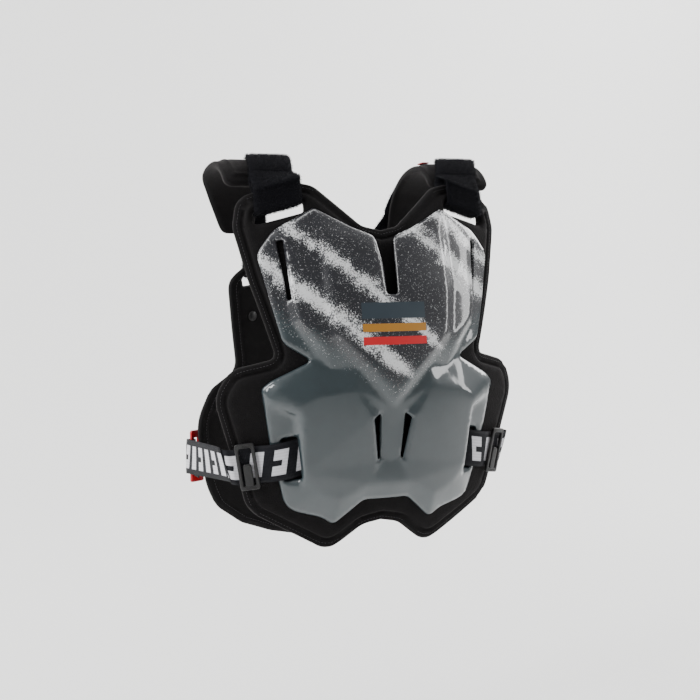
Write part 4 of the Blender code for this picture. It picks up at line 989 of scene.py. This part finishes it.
# Shoulder straps
# Nylon hook-and-loop strap, 46 mm wide in front and 32 mm behind.  It goes through the panel's
# slot and back over itself; the brushed loop side stands out as short fuzz.
loop_nylon, tree, shader = new_finish("brushed_loop_nylon", "#06060a", 0.95)
shader.inputs["Sheen Weight"].default_value = 0.10
shader.inputs["Sheen Roughness"].default_value = 0.5
shader.inputs["Sheen Tint"].default_value = colour("#55565e")
shader.inputs["Specular IOR Level"].default_value = 0.2
uv = add(tree, "ShaderNodeUVMap", uv_map="weave")
# Ground weave: picks about 1.2 mm apart, twice the real spacing so that they show
picks = add(tree, "ShaderNodeTexWave", {"Vector": uv.outputs["UV"], "Scale": 130.0,
                                       "Distortion": 1.5, "Detail": 1.0}, wave_type="BANDS",
            bands_direction="X")
fuzz = add(tree, "ShaderNodeTexNoise", {"Vector": uv.outputs["UV"], "Scale": 700.0, "Detail": 3.0})
mixed = add(tree, "ShaderNodeMix", {0: fuzz.outputs["Fac"], 6: colour("#040407"),
                                   7: colour("#0c0c13")}, data_type="RGBA")
tree.links.new(mixed.outputs[2], shader.inputs["Base Color"])
ground_bump = add(tree, "ShaderNodeBump", {"Height": picks.outputs["Fac"], "Strength": 0.35,
                                          "Distance": 0.0004})
top_bump = add(tree, "ShaderNodeBump", {"Height": fuzz.outputs["Fac"], "Strength": 0.6,
                                       "Distance": 0.0007, "Normal": ground_bump.outputs["Normal"]})
tree.links.new(top_bump.outputs["Normal"], shader.inputs["Normal"])


def woven_strap(name, rails, thickness, finish, pieces=4):
    """A closed strap along rails that run side by side, with its lengths as a UV map."""
    rails = np.array([smooth_run(rail, pieces) for rail in rails])
    wide, long = rails.shape[:2]
    ahead = np.gradient(rails, axis=1)
    aside = np.gradient(rails, axis=0)
    normal = np.cross(ahead, aside)
    normal /= np.maximum(np.linalg.norm(normal, axis=2), 1e-9)[..., None]
    share = np.abs(np.linspace(-1, 1, wide))
    half = (thickness / 2 * np.where(share > 0.99, 0.45, 1.0))[:, None, None]
    points = np.concatenate(((rails + normal * half).reshape(-1, 3),
                             (rails - normal * half).reshape(-1, 3)))
    step = np.linalg.norm(np.diff(rails[wide // 2], axis=0), axis=1)
    length = np.concatenate(([0.0], np.cumsum(step)))
    span = np.linalg.norm(rails[-1] - rails[0], axis=1).mean()
    widths = np.linspace(-span / 2, span / 2, wide)
    count = wide * long
    quads = []
    for i in range(wide - 1):
        for j in range(long - 1):
            a, b, c, d = i * long + j, i * long + j + 1, (i + 1) * long + j + 1, (i + 1) * long + j
            quads.append((a, b, c, d))
            quads.append((d + count, c + count, b + count, a + count))
    for i in (0, wide - 1):
        quads.extend((i * long + j, i * long + j + 1, i * long + j + 1 + count,
                      i * long + j + count) for j in range(long - 1))
    for j in (0, long - 1):
        quads.extend((i * long + j, (i + 1) * long + j, (i + 1) * long + j + count,
                      i * long + j + count) for i in range(wide - 1))
    made = new_piece(name, points, quads, finish)
    face_outwards(made.data)
    layer = made.data.uv_layers.new(name="weave")
    for corner in made.data.loops:
        spot = corner.vertex_index % count
        layer.data[corner.index].uv = (length[spot % long], widths[spot // long])
    return made


fuzz_tree, inputs = begin_tree("loop_fuzz", "Strap", ("Density", "Length", "Thickness"))
roots = add(fuzz_tree, "GeometryNodeDistributePointsOnFaces", {
    "Mesh": inputs.outputs["Strap"], "Density": inputs.outputs["Density"], "Seed": 7})
wild = add(fuzz_tree, "FunctionNodeRandomValue", {0: (-0.9, -0.9, -0.9), 1: (0.9, 0.9, 0.9),
                                                 "Seed": 11}, data_type="FLOAT_VECTOR")
lean = add(fuzz_tree, "ShaderNodeVectorMath", {0: roots.outputs["Normal"], 1: wild.outputs[0]},
           operation="ADD")
up = add(fuzz_tree, "FunctionNodeAlignRotationToVector", {"Vector": lean.outputs["Vector"]},
         axis="Z")
hair = add(fuzz_tree, "GeometryNodeMeshCone", {"Vertices": 3, "Radius Top": 0.3,
                                              "Radius Bottom": 1.0, "Depth": 1.0})
hair_size = add(fuzz_tree, "ShaderNodeCombineXYZ", {"X": inputs.outputs["Thickness"],
                                                   "Y": inputs.outputs["Thickness"],
                                                   "Z": inputs.outputs["Length"]})
standing = add(fuzz_tree, "GeometryNodeInstanceOnPoints", {
    "Points": roots.outputs["Points"], "Instance": hair.outputs["Mesh"],
    "Rotation": up.outputs["Rotation"], "Scale": hair_size.outputs["Vector"]})
end_tree(fuzz_tree, standing.outputs["Instances"], loop_nylon)

STRAP_WALL = 0.0022
STRAP_PLACE = 0.105
STRAP_HALF = 0.023
STRAP_SHIFT = 0.0045
STRAP_SKEW = 0.0145
STRAP_TOP = 0.25
REAR_PLACE = 0.070
REAR_HALF = 0.016
REAR_SKEW = 0.006
FRONT_BAR = 0.019
REAR_BAR = 0.0115
STRAP_LAY = STRAP_WALL / 2 + 0.0006
STRAP_DOUBLE = STRAP_LAY + STRAP_WALL + 0.0003


def front_strap_rail(across, side):
    """One lengthwise line of the front strap: down behind the bar and up over itself."""
    x = STRAP_PLACE + across * STRAP_HALF
    shift = STRAP_SHIFT + side * STRAP_SKEW
    bar_top = front_tab_edge(x)
    bar_low = bar_top - FRONT_BAR
    run = []
    for share in np.linspace(0.31, 0.0, 13):
        run.append(on_shoulder([[x + shift * share / STRAP_TOP, share * SHOULDER_LENGTH]],
                               STRAP_LAY)[0])
    behind = FOAM + STRAP_LAY + 0.0006
    for z, depth in ((bar_top - 0.004, behind), (bar_low - 0.0008, behind),
                     (bar_low - STRAP_LAY - 0.0012, FOAM + 0.001),
                     (bar_low - STRAP_LAY - 0.0014, FOAM * 0.5),
                     (bar_low - STRAP_LAY - 0.0012, -0.0006),
                     (bar_low - 0.001, -STRAP_LAY - 0.0006),
                     (bar_low + 0.006, -STRAP_LAY - 0.0006),
                     (bar_top - 0.002, -STRAP_LAY - 0.0006), (bar_top + 0.003, -STRAP_LAY)):
        run.append(on_front([[x, z]], -depth)[0])
    for share in np.linspace(0.05, 0.27, 13):
        run.append(on_shoulder([[x + shift * share / STRAP_TOP, share * SHOULDER_LENGTH]],
                               STRAP_DOUBLE)[0])
    return np.array(run)


def rear_strap_rail(across, side):
    """One lengthwise line of the rear strap."""
    half = across * REAR_HALF
    x_low = REAR_PLACE + half
    bar_top = back_tab_edge(x_low)
    bar_low = bar_top - REAR_BAR
    run = []
    for x, share in zip(np.linspace(0.100, 0.087, 7), np.linspace(0.56, 0.90, 7)):
        run.append(on_shoulder([[x + half + side * REAR_SKEW, share * SHOULDER_LENGTH]], STRAP_LAY)[0])
    inner = FOAM + STRAP_LAY + 0.0006
    for z, depth in ((bar_top + 0.004, -STRAP_LAY - 0.001), (bar_top - 0.004, -STRAP_LAY - 0.0006),
                     (bar_low - 0.001, -STRAP_LAY - 0.0006),
                     (bar_low - STRAP_LAY - 0.0012, -0.0006),
                     (bar_low - STRAP_LAY - 0.0014, FOAM * 0.5),
                     (bar_low - STRAP_LAY - 0.0012, FOAM + 0.001), (bar_low - 0.0008, inner),
                     (bar_low + 0.008, inner)):
        run.append(on_back([[x_low, z]], -depth)[0])
    return np.array(run)


for side, side_name in ((-1, "right"), (1, "left")):
    turned_over = np.array((side, 1.0, 1.0))
    for end, rail, dense in (("front", front_strap_rail, 9e5), ("rear", rear_strap_rail, 9e5)):
        rails = [rail(across, side) * turned_over for across in np.linspace(-1, 1, 9)]
        strap = woven_strap(f"{end}_hook_and_loop_{side_name}", rails, STRAP_WALL, loop_nylon)
        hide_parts(f"{end}_shoulder_strap_{side_name}")
        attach(strap, "root")
        upper = strap.data.copy()
        fuzz_base = bpy.data.objects.new("fuzz_base", upper)
        bpy.context.scene.collection.objects.link(fuzz_base)
        pile = grown(f"{end}_loop_pile_{side_name}", fuzz_base, fuzz_tree,
                     {"Density": dense, "Length": 0.0022, "Thickness": 0.00017}, loop_nylon)
        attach(pile, "root")

# Shoulder tab
# A folded piece of red ribbon, sewn flat on the left shoulder pad beside the strap.
ribbon_red, tree, shader = new_finish("red_woven_ribbon", "#a3101a", 0.7)
place = add(tree, "ShaderNodeTexCoord")
rows = add(tree, "ShaderNodeTexWave", {"Vector": place.outputs["Object"], "Scale": 160.0},
           bands_direction="Y")
twill = add(tree, "ShaderNodeBump", {"Height": rows.outputs["Fac"], "Strength": 0.3,
                                    "Distance": 0.0003})
tree.links.new(twill.outputs["Normal"], shader.inputs["Normal"])


def moulded(name, outline, holes, thickness, edge, finish, origin, across, up):
    """A flat part with rounded edges, its local x along across and its y along up."""
    curve = bpy.data.curves.new(name, "CURVE")
    curve.dimensions = "2D"
    curve.fill_mode = "BOTH"
    curve.extrude = thickness / 2 - edge
    curve.bevel_depth = edge
    curve.bevel_resolution = 3
    curve.offset = -edge
    for ring in [outline, *holes]:
        spline = curve.splines.new("POLY")
        spline.points.add(len(ring) - 1)
        for point, spot in zip(spline.points, ring):
            point.co = (spot[0], spot[1], 0.0, 1.0)
        spline.use_cyclic_u = True
    flat_part = bpy.data.objects.new(name + "_curve", curve)
    bpy.context.scene.collection.objects.link(flat_part)
    view = bpy.context.evaluated_depsgraph_get()
    mesh = bpy.data.meshes.new_from_object(flat_part.evaluated_get(view))
    bpy.data.objects.remove(flat_part)
    x_axis = Vector(across).normalized()
    z_axis = x_axis.cross(Vector(up)).normalized()
    y_axis = z_axis.cross(x_axis)
    turn = Matrix((x_axis, y_axis, z_axis)).transposed().to_4x4()
    mesh.transform(Matrix.Translation(Vector(origin)) @ turn)
    face_outwards(mesh, 1e-6)
    mesh.materials.clear()
    mesh.materials.append(finish)
    mesh.shade_smooth()
    mesh.set_sharp_from_angle(angle=math.radians(40))
    mesh.name = name
    made = bpy.data.objects.new(name, mesh)
    bpy.context.scene.collection.objects.link(made)
    return made


def rounded_box(width, height, radius, centre=(0.0, 0.0)):
    """A rounded rectangle as an outline."""
    corners = [(centre[0] + a * width / 2, centre[1] + b * height / 2, radius)
               for a, b in ((-1, -1), (1, -1), (1, 1), (-1, 1))]
    return rounded_path(corners, True, 0.0012)


tab_spot = [[0.094, 0.34 * SHOULDER_LENGTH]]
tab_low = on_shoulder(tab_spot, 0.0)[0]
tab_away = Vector(on_shoulder(tab_spot, 1.0)[0] - tab_low)
tab = moulded("red_ribbon_tab", rounded_box(0.008, 0.014, 0.001), [], 0.0012, 0.0004, ribbon_red,
              Vector(tab_low) + tab_away * 0.0012, (1, 0, 0), tab_away.cross(Vector((1, 0, 0))))
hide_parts("shoulder_tab")
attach(tab, "root")

# Side straps
# Elastic webbing 38 mm wide, woven black with a white print.  It comes out of the plate's
# window, goes round the foam's edge and back over the hook's bar.
webbing, tree, shader = new_finish("printed_elastic_webbing", "#0b0c14", 0.85)
shader.inputs["Specular IOR Level"].default_value = 0.3
uv = add(tree, "ShaderNodeUVMap", uv_map="weave")
axes = add(tree, "ShaderNodeSeparateXYZ", {"Vector": uv.outputs["UV"]})
# Slanting printed blocks, 25 mm apart and 26 mm high, each cut by a thin bar
slant = sum_of(axes.outputs["X"], sum_of(axes.outputs["Y"], 0.28, "MULTIPLY"))
beat = sum_of(sum_of(slant, 1 / 0.025, "MULTIPLY"), 1.0, "FLOORED_MODULO")
half_beat = sum_of(sum_of(slant, 1 / 0.050, "MULTIPLY"), 1.0, "FLOORED_MODULO")
in_block = sum_of(step_over(beat, 0.08, 0.10), step_over(beat, 0.66, 0.68), "SUBTRACT")
height_in = sum_of(1.0, step_over(sum_of(axes.outputs["Y"], 0.0, "ABSOLUTE"), 0.0127, 0.0130),
                   "SUBTRACT")
notch = sum_of(step_over(axes.outputs["Y"], -0.0035, -0.0032),
               step_over(axes.outputs["Y"], 0.0022, 0.0025), "SUBTRACT")
notch = sum_of(sum_of(notch, step_over(beat, 0.30, 0.32), "MULTIPLY"),
               step_over(half_beat, 0.49, 0.51), "MULTIPLY")
mark = sum_of(sum_of(in_block, height_in, "MULTIPLY"), sum_of(1.0, notch, "SUBTRACT"), "MULTIPLY")
# Warp cords run along the strap 1.5 mm apart, and the print is painted a little darker in the grooves
# between them, as painted shade
cords = add(tree, "ShaderNodeTexWave", {"Vector": uv.outputs["UV"], "Scale": 105.0,
                                       "Distortion": 0.6}, bands_direction="Y")
shots = add(tree, "ShaderNodeTexWave", {"Vector": uv.outputs["UV"], "Scale": 210.0,
                                       "Distortion": 0.4}, bands_direction="X")
# Painted shade: the print is darker where the cord waves run low, in step with the weave's bump
print_with_groove_shade = sum_of(mark, sum_of(0.86, sum_of(cords.outputs["Fac"], 0.14, "MULTIPLY")), "MULTIPLY")
inked = add(tree, "ShaderNodeMix", {0: print_with_groove_shade, 6: colour("#07080f"), 7: colour("#cfced3")},
            data_type="RGBA")
tree.links.new(inked.outputs[2], shader.inputs["Base Color"])
woven = add(tree, "ShaderNodeBump", {"Height": sum_of(cords.outputs["Fac"], shots.outputs["Fac"]),
                                    "Strength": 0.35, "Distance": 0.0004})
tree.links.new(woven.outputs["Normal"], shader.inputs["Normal"])

WINDOW_PLACE = 0.104
WEB_HALF = 0.019
WEB_SLOPE = 0.18
WEB_LEAN = math.hypot(1.0, WEB_SLOPE)
WEB_LAY = 0.0014
FLANGE_LIFT = 0.0058
PAD_CORNER = (1.020 * FRONT_SIZE[0], FRONT_SIZE[1] - 0.585 * FRONT_SIZE[2])
PAD_HEM = (0.812 * FRONT_SIZE[0], FRONT_SIZE[1] - 0.900 * FRONT_SIZE[2])


def web_height(x):
    """The side strap's middle line on the front panel."""
    return -0.286 - WEB_SLOPE * (x - WINDOW_PLACE)


def pad_side(z):
    """How far across the front pad's lower edge lies at one height."""
    share = (PAD_CORNER[1] - z) / (PAD_CORNER[1] - PAD_HEM[1])
    return PAD_CORNER[0] + (PAD_HEM[0] - PAD_CORNER[0]) * share


web_edge = pad_side(web_height(0.9 * FRONT_SIZE[0]))


def hook_place():
    """The left hook's middle and its directions ahead and outwards."""
    spot = [[BACK_SIZE[0] * 0.96 - 0.004, web_height(web_edge) - 0.008]]
    point = Vector(on_back(spot, 0.0)[0])
    outward = (Vector(on_back(spot, 1.0)[0]) - point).normalized()
    ahead = Vector((outward.y, -outward.x, 0.0)).normalized()
    return point + outward * 0.00754, ahead, outward


def web_rail(step):
    """One lengthwise line of the left side strap; step is -1 for its lower edge."""
    half = step * WEB_HALF
    run = []
    edge = pad_side(web_height(web_edge) + half)
    for x, lift in ((WINDOW_PLACE - 0.026, WEB_LAY), (WINDOW_PLACE - 0.014, WEB_LAY + 0.0004),
                    (WINDOW_PLACE - 0.0105, WEB_LAY + 0.0009), (WINDOW_PLACE - 0.0005, FLANGE_LIFT),
                    (WINDOW_PLACE + 0.0145, FLANGE_LIFT), (WINDOW_PLACE + 0.026, WEB_LAY)):
        across = x + half * WEB_SLOPE / WEB_LEAN
        run.append(on_front([[across, web_height(x) + half / WEB_LEAN]], lift)[0])
    for share in (0.5, 1.0):
        x = across + (edge - 0.003 - across) * share
        run.append(on_front([[x, web_height(x) + half]], WEB_LAY)[0])
    last = run[-1]
    middle, ahead, outward = hook_place()
    bar = middle + ahead * 0.0073
    reach = math.hypot(0.0044, 0.0032) / 2 + 0.0011
    rear_z = bar.z + half
    run.extend(last + np.array(turn) for turn in ((0.0050, 0.0020, 0.0), (0.0082, 0.0085, 0.0006),
                                                  (0.0084, 0.0175, 0.0016)))
    for degrees in range(-10, 250, 40):
        angle = math.radians(degrees)
        run.append(np.array((bar.x + reach * math.cos(angle), bar.y + reach * math.sin(angle),
                             rear_z)))
    inner = bar.x + reach - 0.0022
    run.append(np.array((inner - 0.0010, bar.y - 0.010, rear_z)))
    run.append(np.array((inner, bar.y - 0.016, rear_z)))
    run.append(np.array((inner + 0.0002, bar.y - 0.030, rear_z)))
    return np.array(run)


for side, side_name in ((-1, "right"), (1, "left")):
    turned_over = np.array((side, 1.0, 1.0))
    rails = [web_rail(step) * turned_over for step in np.linspace(-1, 1, 9)]
    web = woven_strap(f"elastic_webbing_{side_name}", rails, 0.0016, webbing)
    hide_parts(f"side_strap_{side_name}")
    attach(web, "root")

# Slides and hooks
# Each slide is moulded in black nylon with a smooth tongue in its opening and ribbed end bars.
# Each hook is a red nylon loop whose front bar carries the strap at the back plate's edge.
red_nylon, tree, shader = new_finish("moulded_red_nylon", "#b3121b", 0.32)
shader.inputs["IOR"].default_value = 1.53
place = add(tree, "ShaderNodeTexCoord")
flow = add(tree, "ShaderNodeTexNoise", {"Vector": place.outputs["Object"], "Scale": 300.0})
dull = add(tree, "ShaderNodeBump", {"Height": flow.outputs["Fac"], "Strength": 0.08,
                                   "Distance": 0.0003})
tree.links.new(dull.outputs["Normal"], shader.inputs["Normal"])
rib_tree, inputs = begin_tree("slide_ribs", "Bar", ("Pitch", "Length", "Height"))
step = add(rib_tree, "ShaderNodeCombineXYZ", {"Y": inputs.outputs["Pitch"]})
row = add(rib_tree, "GeometryNodeMeshLine", {"Count": 3, "Offset": step.outputs["Vector"]},
          mode="OFFSET")
rib = add(rib_tree, "GeometryNodeMeshUVSphere", {"Segments": 12, "Rings": 8, "Radius": 0.5})
rib_size = add(rib_tree, "ShaderNodeCombineXYZ", {"X": inputs.outputs["Length"],
                                                 "Y": inputs.outputs["Height"],
                                                 "Z": inputs.outputs["Height"]})
ribs = add(rib_tree, "GeometryNodeInstanceOnPoints", {
    "Points": row.outputs["Mesh"], "Instance": rib.outputs["Mesh"],
    "Scale": rib_size.outputs["Vector"]})
end_tree(rib_tree, ribs.outputs["Instances"], nylon)

SLIDE_HIGH = 0.048
OPEN_X = 0.0064
OPEN_Y = 0.0195
TONGUE = OPEN_X - 0.0021
slide_opening = rounded_path([
    (-OPEN_X, -OPEN_Y, 0.001), (-TONGUE, -OPEN_Y, 0.0005), (-TONGUE, OPEN_Y * 0.16, 0.0038),
    (TONGUE, OPEN_Y * 0.16, 0.0038), (TONGUE, -OPEN_Y, 0.0005), (OPEN_X, -OPEN_Y, 0.001),
    (OPEN_X, OPEN_Y, 0.002), (-OPEN_X, OPEN_Y, 0.002)], True, 0.0010)
for side, side_name in ((-1, "right"), (1, "left")):
    turned_over = np.array((side, 1.0, 1.0))
    x = web_edge - 0.013
    spot = [[x, web_height(x)]]
    point = Vector(on_front(spot, 0.0)[0] * turned_over)
    outward = (Vector(on_front(spot, 1.0)[0] * turned_over) - point).normalized()
    above = on_front([[x + WEB_SLOPE * 0.01, web_height(x) + 0.01]], 0.0)[0] * turned_over
    up = (Vector(above) - point).normalized()
    across = up.cross(outward).normalized()
    origin = point + outward * (WEB_LAY + 0.0008 + 0.0006 + 0.0018)
    slide = moulded(f"nylon_slide_{side_name}", rounded_box(0.020, SLIDE_HIGH, 0.003),
                    [slide_opening], 0.0036, 0.0009, nylon, origin, across, up)
    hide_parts(f"strap_slide_{side_name}")
    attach(slide, "root")
    turn = Matrix((across, up, across.cross(up))).transposed().to_4x4()
    for level, start in (("upper", OPEN_Y + 0.0009), ("lower", -SLIDE_HIGH / 2 + 0.0010)):
        bar = bpy.data.objects.new("rib_base", bpy.data.meshes.new("rib_base"))
        bpy.context.scene.collection.objects.link(bar)
        ribbing = grown(f"slide_ribs_{level}_{side_name}", bar, rib_tree,
                        {"Pitch": 0.0013, "Length": 0.015, "Height": 0.0010}, nylon)
        ribbing.data.transform(Matrix.Translation(origin) @ turn
                               @ Matrix.Translation((0.0, start, 0.0018)))
        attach(ribbing, "root")
    middle, ahead, away = hook_place()
    middle = Vector(np.array(middle) * turned_over)
    ahead = Vector(np.array(ahead) * turned_over)
    hook = moulded(f"red_hook_{side_name}", rounded_box(0.019, 0.057, 0.0025),
                   [rounded_box(0.006, 0.041, 0.001, (0.0021, 0.0))], 0.0032, 0.0008, red_nylon,
                   middle, ahead, (0, 0, 1))
    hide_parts(f"strap_hook_{side_name}")
    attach(hook, "root")
